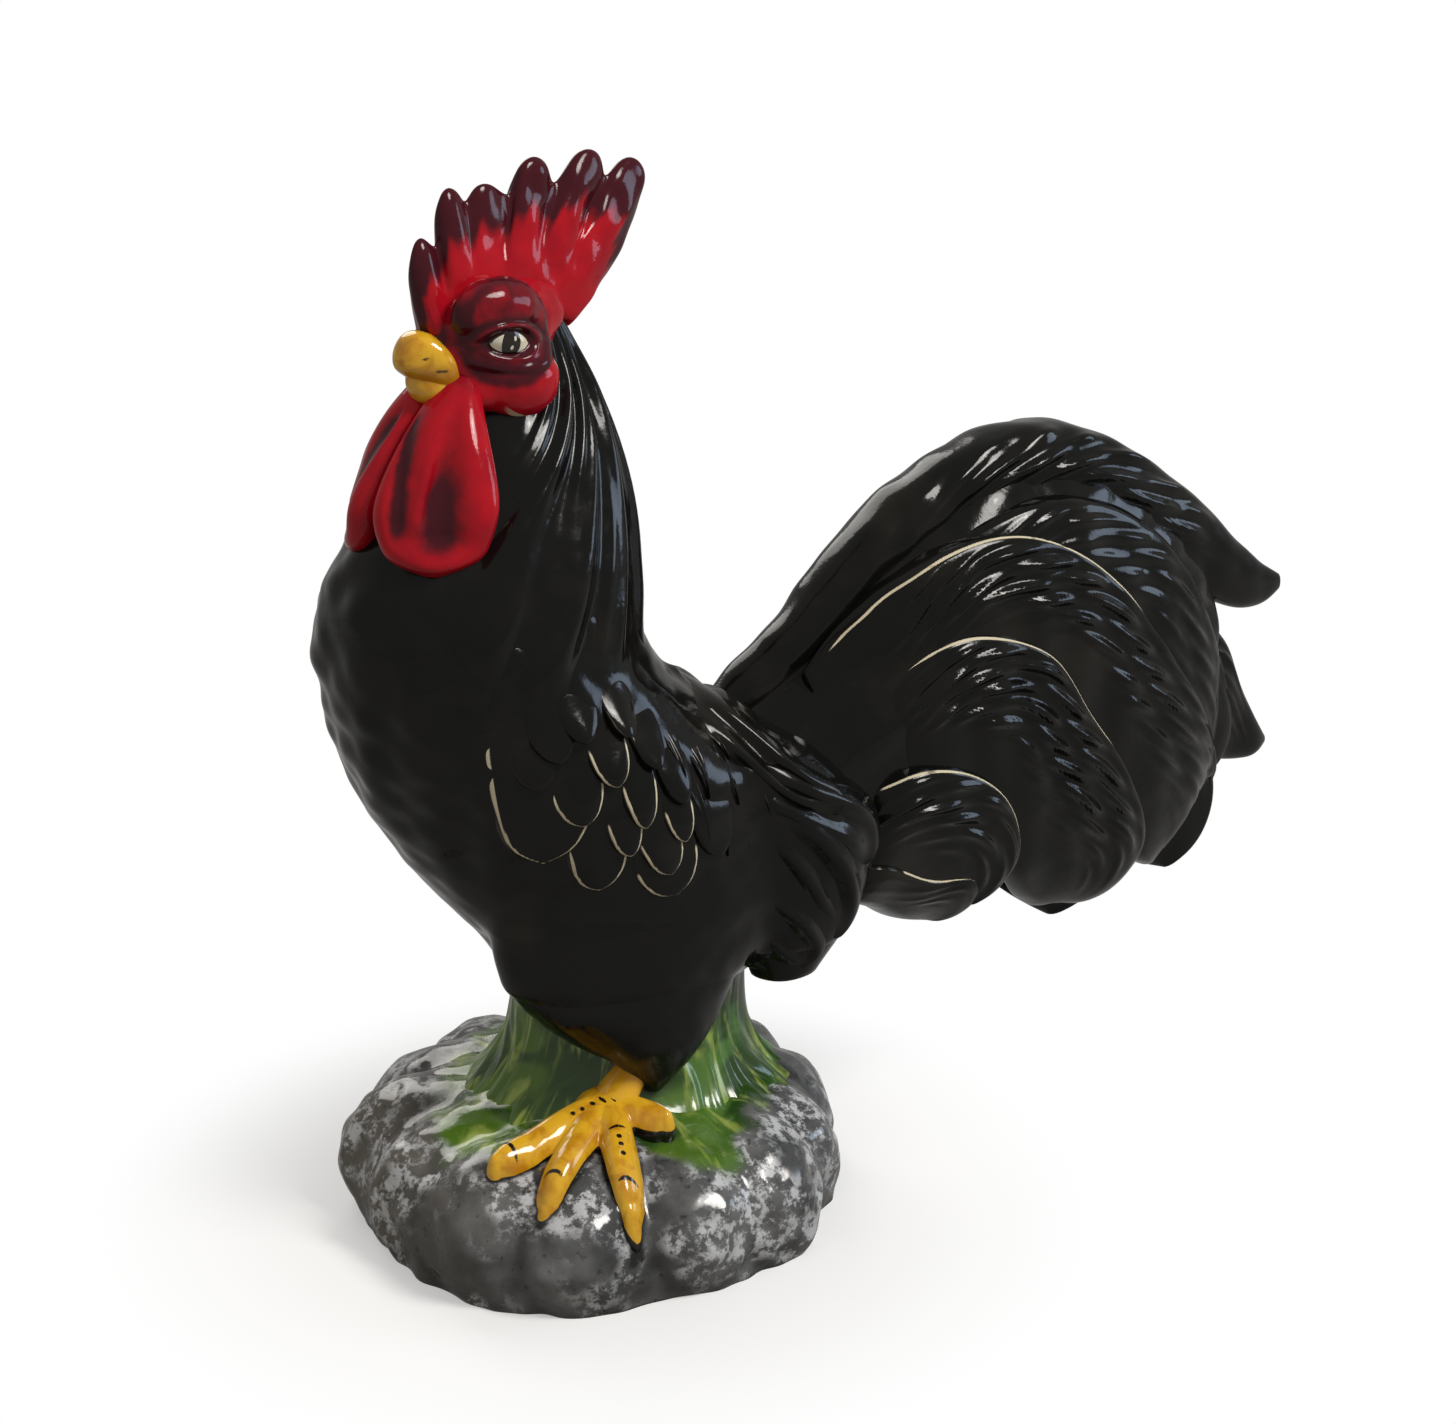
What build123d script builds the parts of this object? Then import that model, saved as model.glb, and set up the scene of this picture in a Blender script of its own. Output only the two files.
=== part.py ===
"""Slip-cast ceramic rooster on a rock base, built from the lumps of clay it is luted from.

Millimetres. The table is z = 0 and the origin lies under the middle of the base. The bird
faces -X, its left side is -Y, and its head is turned a little towards that side.
"""
from build123d import *
import os
from math import cos, hypot, pi, radians, sin, sqrt

os.makedirs("parts", exist_ok=True)

# Clay
wall = 5.0  # thickness of the cast shells
vent_radius = 7.0  # holes that join the hollows of base, mound, torso and tail
drain_radius = 6.0  # hole in the floor of the base
drain_distance = 36.0  # from the middle of the floor to the drain hole

# Rock base
dome_radius = 78.0  # dome inside the ring of stones, at the table
dome_height = 47.0  # top of the dome under the grass
dome_power = 3.0  # fullness of the dome's shoulder, 2 being an ellipse
stone_count = 13
stone_phase = -9.2  # degrees from +X to the first stone
stone_ring = 58.0  # from the middle to the centres of the stones
stone_radius = 25.5
stone_swing = 1.5  # how much larger or smaller than the mean a stone is
stone_turn = 137.5  # degrees from one stone's swing to the next
stone_lift = 15.0  # stone centres above the table

# Grass mound, level ellipses: height, front X, back X, half width
mound_levels = (
    (38.0, -46.0, 60.0, 46.0),
    (47.0, -37.0, 54.0, 38.0),
    (56.0, -31.0, 51.0, 33.0),
    (67.0, -28.0, 50.0, 31.0),
    (84.0, -25.0, 51.0, 31.0),
)

# Torso and neck, level ellipses: height, front X, back X, half width
figure_levels = (
    (78.0, -27.0, 52.0, 31.0),
    (94.0, -37.0, 64.0, 39.0),
    (112.0, -52.0, 69.0, 45.0),
    (134.0, -68.0, 66.0, 49.0),
    (156.0, -79.0, 46.0, 50.0),
    (180.0, -86.0, 19.0, 46.0),
    (204.0, -86.0, 11.0, 42.0),
    (224.0, -76.0, 10.0, 36.0),
    (244.0, -63.0, 6.0, 28.0),
    (264.0, -50.0, -1.0, 20.5),
    (284.0, -42.0, -10.0, 14.0),
    (299.0, -35.0, -18.0, 7.0),
)
neck_joint = 214.0  # height of the joint between torso and neck

# Hackle feathers: side view of the cape they make on the neck, with its pointed lower edge
hackle_relief = 1.6
hackle_front = ((-34.0, 299.0), (-40.0, 275.0), (-52.0, 246.0), (-62.0, 216.0))
hackle_count = 6
hackle_start = -60.0  # X of the first point
hackle_pitch = 13.0
hackle_tip = 194.0  # height of the first point
hackle_fall = 3.0  # how much lower each next point hangs
hackle_depth = 14.0  # from a point up to the notch behind it
hackle_back = 30.0  # X behind the neck where the cape's outline closes

# Hackle strands: ridges on the cape, each through four levels of the neck
strand_places = (  # degrees from the back at the upper end, level of the upper end
    (0.0, -2), (16.0, -2), (-16.0, -2), (40.0, -3), (-40.0, -3), (62.0, -3), (-62.0, -3),
    (84.0, -3), (-84.0, -3),
)
strand_fan = 1.25  # how much further from the back they lie at the lower end
strand_sections = ((1.6, 0.8), (3.2, 1.6), (4.2, 1.9), (1.6, 0.9))  # half width, half height

# Thighs, level ellipses of the left one: height, front X, back X, inner Y, outer Y
thigh_levels = (
    (126.0, -40.0, 34.0, 8.0, 44.0),
    (106.0, -46.0, 40.0, 8.0, 49.0),
    (89.0, -44.0, 36.0, 10.0, 49.0),
    (72.0, -28.0, 27.0, 15.0, 45.0),
    (60.0, -11.0, 16.0, 20.0, 39.0),
    (52.0, -4.0, 7.0, 24.0, 35.0),
)
stride = 60.0  # how far the right foot stands behind the left one

# Left foot, laid on the rock, in plan with distances from the middle plane
foot_hub = (-16.0, 33.0)  # where the toes meet
toe_tips = ((-60.0, 45.0), (-50.0, 61.0), (-30.0, 74.0), (-1.0, 50.0))
toe_half_width = 5.6
toe_half_height = 5.0
toe_taper = ((0.0, 1.0), (0.4, 0.95), (0.75, 0.9), (1.0, 0.4))  # share of length, of width
toe_lift = 1.0  # how far the middle of a toe lies above the rock
hub_radius = 8.0
shank_radius = 5.5

# Head, measured from the neck axis along the way it looks
head_axis_x = -22.0
head_turn = 12.0  # degrees towards the left side
head_slices = (  # forward, low, high, half width
    (-9.0, 264.0, 294.0, 13.0),
    (2.0, 259.5, 299.0, 18.5),
    (16.0, 260.5, 301.0, 19.5),
    (28.0, 266.0, 298.0, 15.5),
    (36.0, 271.0, 292.0, 9.5),
)
eye_centre = (16.5, 284.5)  # forward, height
eye_half_length = 7.5
eye_half_height = 3.6
eye_depth = 14.0  # how far from the middle plane the eye plate starts
eye_face = 20.2  # how far from the middle plane it ends

# Comb outline: forward, height
comb_outline = (
    (37.0, 284.0), (38.5, 302.0), (33.0, 315.0), (28.0, 305.0), (22.5, 329.0),
    (17.0, 317.0), (9.5, 330.0), (2.0, 317.0), (-7.0, 335.5), (-14.5, 319.5),
    (-28.0, 337.5), (-32.0, 322.0), (-48.0, 331.5), (-45.0, 316.0), (-32.0, 300.0),
    (-17.0, 284.0), (6.0, 288.0),
)
comb_round = 2.0
comb_half_thickness = 4.5

# Beak slices: forward, low, high, half width
upper_beak_slices = (
    (22.0, 273.0, 293.0, 11.0),
    (34.0, 275.5, 292.0, 8.5),
    (41.0, 277.0, 288.5, 5.0),
    (45.5, 278.0, 283.5, 1.8),
)
lower_beak_slices = (
    (20.0, 263.0, 277.0, 9.5),
    (32.0, 266.0, 278.0, 7.0),
    (40.5, 272.0, 279.0, 2.5),
)

# Left wattle, level ellipses: height, forward, left, half length, half thickness
wattle_levels = (
    (272.0, 28.0, 7.0, 6.0, 5.0),
    (262.0, 33.0, 9.5, 10.0, 7.0),
    (248.0, 39.0, 12.5, 15.5, 8.5),
    (236.0, 43.0, 14.5, 18.0, 9.0),
    (226.0, 44.5, 16.0, 15.0, 8.0),
    (219.0, 45.0, 16.5, 7.0, 4.5),
)
wattle_turn = 139.0  # degrees from the look direction to the wattle's long side

# Wings: side-view outlines of the tiers, and how far each stands off the torso
wing_relief = 1.6
wing_step = 1.3
side_reach = 75.0  # how far side-view outlines are carried out from the middle plane
wing_top = ((26.0, 161.0), (4.0, 187.0), (-29.0, 198.0), (-56.0, 192.0))
wing_tiers = (
    ((-56.0, 174.0), (-52.0, 151.0), (-26.0, 135.0), (-6.0, 121.0), (15.0, 113.0), (38.0, 130.0)),
    ((-53.0, 168.0), (-37.0, 152.0), (-16.0, 148.0), (1.0, 136.0), (14.0, 129.0), (32.0, 145.0)),
    ((-50.0, 180.0), (-29.0, 166.0), (-10.0, 158.0), (8.0, 148.0), (26.0, 157.0)),
)
scallop_depth = 6.0

# Saddle feathers, level ellipses of the left one: height, front X, back X, inner Y, outer Y
saddle_levels = (
    (172.0, 12.0, 42.0, 0.0, 23.0),
    (156.0, 16.0, 64.0, 2.0, 41.0),
    (134.0, 22.0, 86.0, 6.0, 50.0),
    (112.0, 30.0, 92.0, 10.0, 49.0),
    (92.0, 34.0, 84.0, 12.0, 45.0),
    (74.0, 40.0, 70.0, 16.0, 40.0),
)
saddle_back = ((36.0, 81.0), (33.0, 112.0), (26.0, 142.0), (20.0, 172.0), (46.0, 172.0), (66.0, 150.0))
saddle_lobes = (
    ((66.0, 150.0), (83.0, 138.0), (86.0, 122.0)),
    ((86.0, 122.0), (86.0, 103.0), (74.0, 95.0)),
    ((74.0, 95.0), (72.0, 81.0), (57.0, 82.0)),
    ((57.0, 82.0), (46.0, 74.0), (36.0, 81.0)),
)

# Tail core, upright ellipses: X, low, high, half thickness
tail_slices = (
    (10.0, 108.0, 144.0, 22.0),
    (40.0, 100.0, 154.0, 27.0),
    (72.0, 93.0, 174.0, 29.0),
    (104.0, 87.0, 204.0, 29.0),
    (136.0, 81.0, 223.0, 28.0),
    (166.0, 78.0, 227.0, 26.0),
    (196.0, 77.0, 217.0, 22.0),
    (222.0, 87.0, 196.0, 16.0),
    (240.0, 112.0, 174.0, 9.0),
)

# Sickle feathers on the middle plane, upright ellipses: X, low, high, half thickness
upper_sickle_slices = (
    (44.0, 147.0, 165.0, 6.0),
    (71.0, 165.0, 185.0, 9.0),
    (95.0, 188.0, 209.0, 11.0),
    (120.0, 204.0, 225.0, 13.0),
    (150.0, 213.0, 237.0, 14.0),
    (180.0, 210.0, 235.5, 14.0),
    (206.0, 195.0, 224.0, 12.5),
    (230.0, 175.0, 204.0, 10.0),
    (252.0, 162.0, 185.0, 7.0),
    (266.0, 161.0, 175.0, 4.5),
    (273.0, 163.0, 170.0, 2.0),
)
lower_sickle_slices = (
    (206.0, 122.0, 170.0, 10.0),
    (232.0, 110.0, 164.0, 9.5),
    (249.0, 106.0, 150.0, 7.5),
    (261.0, 105.0, 127.0, 5.0),
    (268.0, 106.0, 114.0, 2.0),
)

# Side feathers of the tail, side view: root, crest, outer, tip, inner, belly, lower root
feather_relief = 2.6
feather_step = 0.9  # how much higher each lower feather stands
feather_rim = 16.0  # how far the feathers reach past the core's outline
rib_relief = 1.8  # how far the ribs stand off their feather
rib_half_width = 4.0
rib_slant = 0.12  # share of the length by which a rib's lower end lies further out
rib_inset = 0.16  # share of a rib's length kept clear at both edges of the feather
rib_places = (  # shares of each feather's length
    (0.58, 0.72), (0.1, 0.27, 0.45, 0.62), (0.1, 0.27, 0.45, 0.62), (0.1, 0.36, 0.62), (0.1, 0.62),
)
feather_outlines = (
    ((98.0, 194.0), (160.0, 217.0), (240.0, 148.0), (243.0, 113.0), (221.0, 108.0),
     (178.0, 182.0), (104.0, 185.0)),
    ((70.0, 174.0), (130.0, 207.0), (234.0, 116.0), (225.0, 72.0), (197.0, 87.0),
     (155.0, 165.0), (76.0, 160.0)),
    ((83.0, 160.0), (133.0, 175.0), (199.0, 103.0), (174.0, 63.0), (146.0, 90.0),
     (132.0, 130.0), (82.0, 139.0)),
    ((79.0, 129.0), (117.0, 133.5), (145.0, 98.0), (128.0, 77.0), (107.0, 91.0),
     (102.0, 107.0), (75.0, 111.0)),
    ((66.0, 110.0), (98.0, 103.0), (127.0, 86.0), (117.0, 73.0), (101.0, 79.0),
     (86.0, 89.0), (64.0, 95.0)),
)


def level_loft(levels, grow=0.0):
    """Loft of level ellipses centred on the middle plane, each grown by the same amount."""
    with BuildPart() as form:
        for height, front, back, half_width in levels:
            with BuildSketch(Plane.XY.offset(height)):
                with Locations(((front + back) / 2, 0)):
                    Ellipse((back - front) / 2 + grow, half_width + grow)
        loft()
    return form.part


def side_loft(levels, side, set_back=0.0):
    """Loft of level ellipses on one side of the bird, its lower end set back along X."""
    top, bottom = levels[0][0], levels[-1][0]
    with BuildPart() as form:
        for height, front, back, inner, outer in levels:
            shift = set_back * (top - height) / (top - bottom)
            with BuildSketch(Plane.XY.offset(height)):
                with Locations(((front + back) / 2 + shift, side * (inner + outer) / 2)):
                    Ellipse((back - front) / 2, (outer - inner) / 2)
        loft()
    return form.part


def upright_loft(slices, grow=0.0, rim=0.0):
    """Loft of upright ellipses along X, grown sideways and round the outline."""
    with BuildPart() as form:
        for x, low, high, half_thickness in slices:
            with BuildSketch(Plane.YZ.offset(x)):
                with Locations((0, (low + high) / 2)):
                    Ellipse(half_thickness + grow, (high - low) / 2 + rim)
        loft()
    return form.part


def dome_rise(distance):
    """Height of the dome at a distance from its axis."""
    share = min(1.0, distance / dome_radius)
    return dome_height * (1 - share**dome_power) ** (1 / dome_power)


def stone(index):
    """Plan position and radius of one stone of the ring."""
    angle = 2 * pi * index / stone_count + radians(stone_phase)
    radius = stone_radius + stone_swing * sin(radians(stone_turn * index))
    return stone_ring * cos(angle), stone_ring * sin(angle), radius


def rock_form(grow, floor):
    """Dome and ring of stones above a floor height, all grown by the same amount."""
    shares = (1.0, 0.995, 0.97, 0.92, 0.84, 0.7, 0.5, 0.25, 0.0)
    rim = [((dome_radius + grow) * share, dome_rise(dome_radius * share) + grow) for share in shares]
    with BuildPart() as form:
        with BuildSketch(Plane.XZ):
            with BuildLine():
                Spline(*rim, tangents=((0, 1), (-1, 0)))
                Polyline(rim[-1], (0, -2 * wall), (rim[0][0], -2 * wall), rim[0])
            make_face()
        revolve(axis=Axis.Z)
        for index in range(stone_count):
            x, y, radius = stone(index)
            with Locations((x, y, stone_lift)):
                Sphere(radius + grow)
        split(bisect_by=Plane.XY.offset(floor), keep=Keep.TOP)
    return form.part


def rock_height(x, y):
    """Height of the rock's upper surface above a plan position."""
    heights = [dome_rise(hypot(x, y))]
    for index in range(stone_count):
        stone_x, stone_y, radius = stone(index)
        gap = hypot(x - stone_x, y - stone_y)
        heights.append(stone_lift + sqrt(max(0.0, radius**2 - gap**2)))
    return max(heights)


def side_plate(outlines, skin):
    """Side-view outlines of straight edges and arcs, carried to the left and kept within a skin."""
    with BuildPart() as plate:
        with BuildSketch(Plane.XZ):
            for edges in outlines:
                with BuildLine():
                    for edge in edges:
                        if len(edge) == 3:
                            ThreePointArc(*edge)
                        else:
                            Line(*edge)
                make_face()
        extrude(amount=side_reach)
        add(skin, mode=Mode.INTERSECT)
    return plate.part


def lines(points):
    """Successive straight edges through the points."""
    return list(zip(points, points[1:]))


def scallops(points):
    """Arcs between successive points, each bulging to the right of the way it runs."""
    arcs = []
    for (x0, z0), (x1, z1) in zip(points, points[1:]):
        length = hypot(x1 - x0, z1 - z0)
        sag = min(scallop_depth, length / 3) / length
        middle = ((x0 + x1) / 2 + sag * (z1 - z0), (z0 + z1) / 2 - sag * (x1 - x0))
        arcs.append(((x0, z0), middle, (x1, z1)))
    return arcs


def ribs(upper, lower, shares):
    """Leaf-shaped outlines across a feather, each from its upper edge slanting out to its lower edge."""
    leaves = []
    for share in shares:
        top, bottom = upper @ share, lower @ (1 - share - rib_slant)
        start, end = top + (bottom - top) * rib_inset, bottom + (top - bottom) * rib_inset
        aside = (end - start).normalized().rotate(Axis.Z, 90) * rib_half_width
        middle = (start + end) / 2
        corners = [(point.X, point.Y) for point in (start, middle + aside, end, middle - aside)]
        leaves.append([(corners[0], corners[1], corners[2]), (corners[2], corners[3], corners[0])])
    return leaves


def strand(angle, top_level):
    """Ridge on the cape through successive levels of the neck, drawn away from the back as it falls."""
    points, normals = [], []
    for index in range(len(strand_sections)):
        height, front, back, half_width = figure_levels[top_level - index]
        turn = radians(angle * (1 + (strand_fan - 1) * index / (len(strand_sections) - 1)))
        reach_x, reach_y = (back - front) / 2 + hackle_relief, half_width + hackle_relief
        points.append(Vector((front + back) / 2 + reach_x * cos(turn), reach_y * sin(turn), height))
        normals.append(Vector(cos(turn) / reach_x, sin(turn) / reach_y, 0))
    with BuildPart() as ridge:
        for index, (half_width, half_height) in enumerate(strand_sections):
            way = points[min(index + 1, len(points) - 1)] - points[max(index - 1, 0)]
            with BuildSketch(Plane(origin=points[index], x_dir=way.cross(normals[index]), z_dir=way)):
                Ellipse(half_width, half_height)
        loft()
    return ridge.part


def cut(shape, *tools):
    """The shape with every tool taken away from it."""
    with BuildPart() as rest:
        add(shape)
        for tool in tools:
            add(tool, mode=Mode.SUBTRACT)
    return rest.part


def mirrored(shape, plane=Plane.XZ):
    """The shape's mirror image."""
    with BuildPart() as image:
        mirror(shape, about=plane)
    return image.part


def save(name, shape):
    """Writes one piece under its own name."""
    shape.label = name
    export_step(shape, f"parts/{name}.step")


# Rock base, hollow, with a flat floor
rock = rock_form(0, 0)
with BuildPart() as base:
    add(rock)
    add(rock_form(-wall, wall), mode=Mode.SUBTRACT)
    with Locations((0, 0, dome_height)):
        Cylinder(vent_radius, 4 * wall, mode=Mode.SUBTRACT)
    with Locations((drain_distance, 0, 0)):
        Cylinder(drain_radius, 4 * wall, mode=Mode.SUBTRACT)
save("rock_base", base.part)

# Torso, hollow and open to the neck above
figure = level_loft(figure_levels)
figure_hollow = level_loft(figure_levels, -wall)
torso_floor = figure_levels[0][0]
neck_top = figure_levels[-1][0]
torso_middle = (figure_levels[0][1] + figure_levels[0][2]) / 2
tail_root_x, tail_root_low, tail_root_high, _ = tail_slices[2]
with BuildPart() as torso_block:
    add(figure)
    split(bisect_by=Plane.XY.offset(neck_joint), keep=Keep.BOTTOM)
with BuildPart() as torso_hollow:
    add(figure_hollow)
    split(bisect_by=Plane.XY.offset(torso_floor + wall), keep=Keep.TOP)
    split(bisect_by=Plane.XY.offset(neck_joint), keep=Keep.BOTTOM)
with BuildPart() as torso:
    add(torso_block.part)
    add(torso_hollow.part, mode=Mode.SUBTRACT)
    with Locations((torso_middle, 0, torso_floor)):
        Cylinder(vent_radius, 4 * wall, mode=Mode.SUBTRACT)
    with Locations((tail_root_x, 0, (tail_root_low + tail_root_high) / 2)):
        Cylinder(vent_radius, 8 * wall, rotation=(0, 90, 0), mode=Mode.SUBTRACT)
save("torso", torso.part)

# Neck, with the cape of pointed hackle feathers hanging over the joint
hackle_edge = list(hackle_front)
for index in range(hackle_count):
    tip_x = hackle_start + index * hackle_pitch
    tip_z = hackle_tip - index * hackle_fall
    hackle_edge.append((tip_x, tip_z))
    hackle_edge.append((tip_x + hackle_pitch / 2, tip_z + hackle_depth))
hackle_edge.append((hackle_back, hackle_edge[-1][1]))
hackle_edge.append((hackle_back, neck_top))
with BuildPart() as cape:
    with BuildSketch(Plane.XZ):
        with BuildLine():
            Polyline(*hackle_edge, close=True)
        make_face()
    extrude(amount=side_reach, both=True)
    add(level_loft(figure_levels, hackle_relief), mode=Mode.INTERSECT)
    add(torso_block.part, mode=Mode.SUBTRACT)
with BuildPart() as neck_block:
    add(figure)
    split(bisect_by=Plane.XY.offset(neck_joint), keep=Keep.TOP)
    add(cape.part)
with BuildPart() as neck_hollow:
    add(figure_hollow)
    split(bisect_by=Plane.XY.offset(neck_joint), keep=Keep.TOP)
    split(bisect_by=Plane.XY.offset(neck_top - 2 * wall), keep=Keep.BOTTOM)
with BuildPart() as neck:
    add(neck_block.part)
    for place in strand_places:
        add(cut(strand(*place), torso_block.part))
    add(neck_hollow.part, mode=Mode.SUBTRACT)
save("neck", neck.part)

# Wings: stacked tiers, the upper ones standing further off the torso
with BuildPart() as wing_stack:
    for index, tier in enumerate(wing_tiers):
        skin = level_loft(figure_levels, wing_relief + wing_step * index)
        add(side_plate([scallops(tier) + lines([tier[-1], *wing_top, tier[0]])], skin))
left_wing = cut(wing_stack.part, figure, neck_block.part)
right_wing = mirrored(left_wing)
save("left_wing", left_wing)
save("right_wing", right_wing)

# Tail core, hollow and open to the torso through its vent
tail = upright_loft(tail_slices)
save("tail_core", cut(tail, figure, upright_loft(tail_slices, -wall, -wall)))

# Saddle feathers over the tail root
saddle_edges = list(saddle_lobes) + lines(saddle_back)
left_saddle = cut(side_plate([saddle_edges], side_loft(saddle_levels, -1)), figure, tail, left_wing)
right_saddle = mirrored(left_saddle)
save("left_saddle", left_saddle)
save("right_saddle", right_saddle)

# Sickle feathers on the middle plane
upper_sickle = cut(upright_loft(upper_sickle_slices), tail, figure, left_saddle, right_saddle)
lower_sickle = cut(upright_loft(lower_sickle_slices), tail, upper_sickle)
save("upper_sickle", upper_sickle)
save("lower_sickle", lower_sickle)

# Side feathers of the tail, laid from the lowest to the highest
laid = [left_saddle, upper_sickle, lower_sickle]
for number in range(len(feather_outlines), 0, -1):
    root, crest, outer, tip, inner, belly, lower_root = feather_outlines[number - 1]
    edges = [(root, crest, outer), (outer, tip, inner), (inner, belly, lower_root), (lower_root, root)]
    grow = feather_relief + feather_step * number
    leaves = ribs(ThreePointArc(*edges[0]), ThreePointArc(*edges[2]), rib_places[number - 1])
    with BuildPart() as ribbed:
        add(side_plate([edges], upright_loft(tail_slices, grow, feather_rim)))
        add(side_plate(leaves, upright_loft(tail_slices, grow + rib_relief, feather_rim)))
    feather = cut(ribbed.part, tail, figure, *laid)
    laid.append(feather)
    save(f"left_tail_feather_{number}", feather)
    save(f"right_tail_feather_{number}", mirrored(feather))

# Grass mound, hollow, between the rock and the torso
mound = level_loft(mound_levels)
save("grass_mound", cut(mound, rock, figure, left_saddle, right_saddle, level_loft(mound_levels, -wall)))


def foot(side, set_back):
    """Toes laid on the rock round a hub, with a shank that leans back to the thigh."""
    hub_x, hub_y = foot_hub[0] + set_back, side * foot_hub[1]
    hub_z = rock_height(hub_x, hub_y) + toe_lift
    ankle_z, ankle_front, ankle_back, ankle_inner, ankle_outer = thigh_levels[-1]
    ankle = ((ankle_front + ankle_back) / 2 + set_back, side * (ankle_inner + ankle_outer) / 2)
    with BuildPart() as toes:
        with Locations((hub_x, hub_y, hub_z)):
            Sphere(hub_radius)
        for tip_x, tip_y in toe_tips:
            along = (tip_x - foot_hub[0], side * (tip_y - foot_hub[1]))
            with BuildPart(mode=Mode.PRIVATE) as toe:
                for length_share, width_share in toe_taper:
                    x = hub_x + length_share * along[0]
                    y = hub_y + length_share * along[1]
                    z = rock_height(x, y) + toe_lift
                    across = Plane(origin=(x, y, z), x_dir=(-along[1], along[0], 0), z_dir=(*along, 0))
                    with BuildSketch(across):
                        Ellipse(toe_half_width * width_share, toe_half_height * width_share)
                loft()
            add(toe.part)
        with BuildPart(mode=Mode.PRIVATE) as shank:
            with BuildSketch(Plane.XY.offset(hub_z)):
                with Locations((hub_x, hub_y)):
                    Circle(shank_radius)
            with BuildSketch(Plane.XY.offset(ankle_z + shank_radius)):
                with Locations(ankle):
                    Circle(shank_radius)
            loft()
        add(shank.part)
    return toes.part


# Thighs and feet, the right leg set back in its stride
for name, side, set_back, wing, saddle in (
    ("left", -1, 0.0, left_wing, left_saddle),
    ("right", 1, stride, right_wing, right_saddle),
):
    thigh = side_loft(thigh_levels, side, set_back)
    save(f"{name}_thigh", cut(thigh, figure, mound, wing, saddle))
    save(f"{name}_foot", cut(foot(side, set_back), rock, mound, thigh))

# The head's own directions: the way it looks, its left side, and its middle plane
look = Vector(-cos(radians(head_turn)), -sin(radians(head_turn)), 0)
left_side = Vector(sin(radians(head_turn)), -cos(radians(head_turn)), 0)
neck_axis = Vector(head_axis_x, 0, 0)
head_middle = Plane(origin=neck_axis, x_dir=look, z_dir=-left_side)


def look_loft(slices):
    """Loft of upright ellipses along the way the head looks."""
    with BuildPart() as form:
        for forward, low, high, half_width in slices:
            with BuildSketch(Plane(origin=neck_axis + look * forward, x_dir=left_side, z_dir=look)):
                with Locations((0, (low + high) / 2)):
                    Ellipse(half_width, (high - low) / 2)
        loft()
    return form.part


# Head, beak and eyes
head = look_loft(head_slices)
save("head", cut(head, neck_block.part))
upper_beak = cut(look_loft(upper_beak_slices), head, neck_block.part)
save("upper_beak", upper_beak)
lower_beak = cut(look_loft(lower_beak_slices), head, neck_block.part, upper_beak)
save("lower_beak", lower_beak)
eye_x, eye_z = eye_centre
eye_front, eye_back = (eye_x + eye_half_length, eye_z), (eye_x - eye_half_length, eye_z)
with BuildPart() as eye:
    with BuildSketch(head_middle.offset(-eye_depth)):
        with BuildLine():
            ThreePointArc(eye_back, (eye_x, eye_z + eye_half_height), eye_front)
            ThreePointArc(eye_front, (eye_x, eye_z - eye_half_height), eye_back)
        make_face()
    extrude(amount=eye_depth - eye_face)
left_eye = cut(eye.part, head, neck_block.part)
right_eye = cut(mirrored(eye.part, head_middle), head, neck_block.part)
save("left_eye", left_eye)
save("right_eye", right_eye)

# Comb
with BuildPart() as comb_blade:
    with BuildSketch(head_middle) as comb_face:
        with BuildLine():
            Polyline(*comb_outline, close=True)
        make_face()
        fillet(comb_face.vertices(), comb_round)
    extrude(amount=comb_half_thickness, both=True)
comb = cut(comb_blade.part, head, neck_block.part, upper_beak)
save("comb", comb)

# Wattles
with BuildPart() as wattle_form:
    for height, forward, left, half_length, half_thickness in wattle_levels:
        with BuildSketch(Plane(origin=neck_axis + Vector(0, 0, height), x_dir=look, z_dir=(0, 0, 1))):
            with Locations((forward, left)):
                Ellipse(half_length, half_thickness, rotation=wattle_turn)
    loft()
chin = (neck_block.part, torso_block.part, head, lower_beak, upper_beak)
left_wattle = cut(wattle_form.part, *chin)
right_wattle = cut(mirrored(wattle_form.part, head_middle), *chin, left_wattle)
save("left_wattle", left_wattle)
save("right_wattle", right_wattle)
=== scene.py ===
"""Glazed ceramic rooster on a rock base, built over its packed frame.

Lengths in the tables are millimetres: the table top is z = 0, the bird faces -X and its left
side is -Y. Every piece is a closed surface worked out on a grid and put into a mesh in metres.
"""

import bpy
import numpy as np
from bpy.props import FloatProperty, FloatVectorProperty, PointerProperty
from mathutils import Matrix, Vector


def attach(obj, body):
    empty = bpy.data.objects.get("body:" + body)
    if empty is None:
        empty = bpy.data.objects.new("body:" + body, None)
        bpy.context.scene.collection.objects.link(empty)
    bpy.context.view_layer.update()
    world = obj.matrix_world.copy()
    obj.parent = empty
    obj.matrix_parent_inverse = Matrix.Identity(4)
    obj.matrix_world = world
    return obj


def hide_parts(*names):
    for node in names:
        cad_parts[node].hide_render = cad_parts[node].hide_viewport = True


bl_info = {
    "name": "Glazed Rooster",
    "version": (1, 0, 0),
    "blender": (4, 5, 0),
    "location": "View3D > Sidebar > Rooster",
    "description": "Builds a glazed ceramic rooster over its packed frame, with floor, lights and camera",
    "category": "Add Mesh",
}

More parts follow.
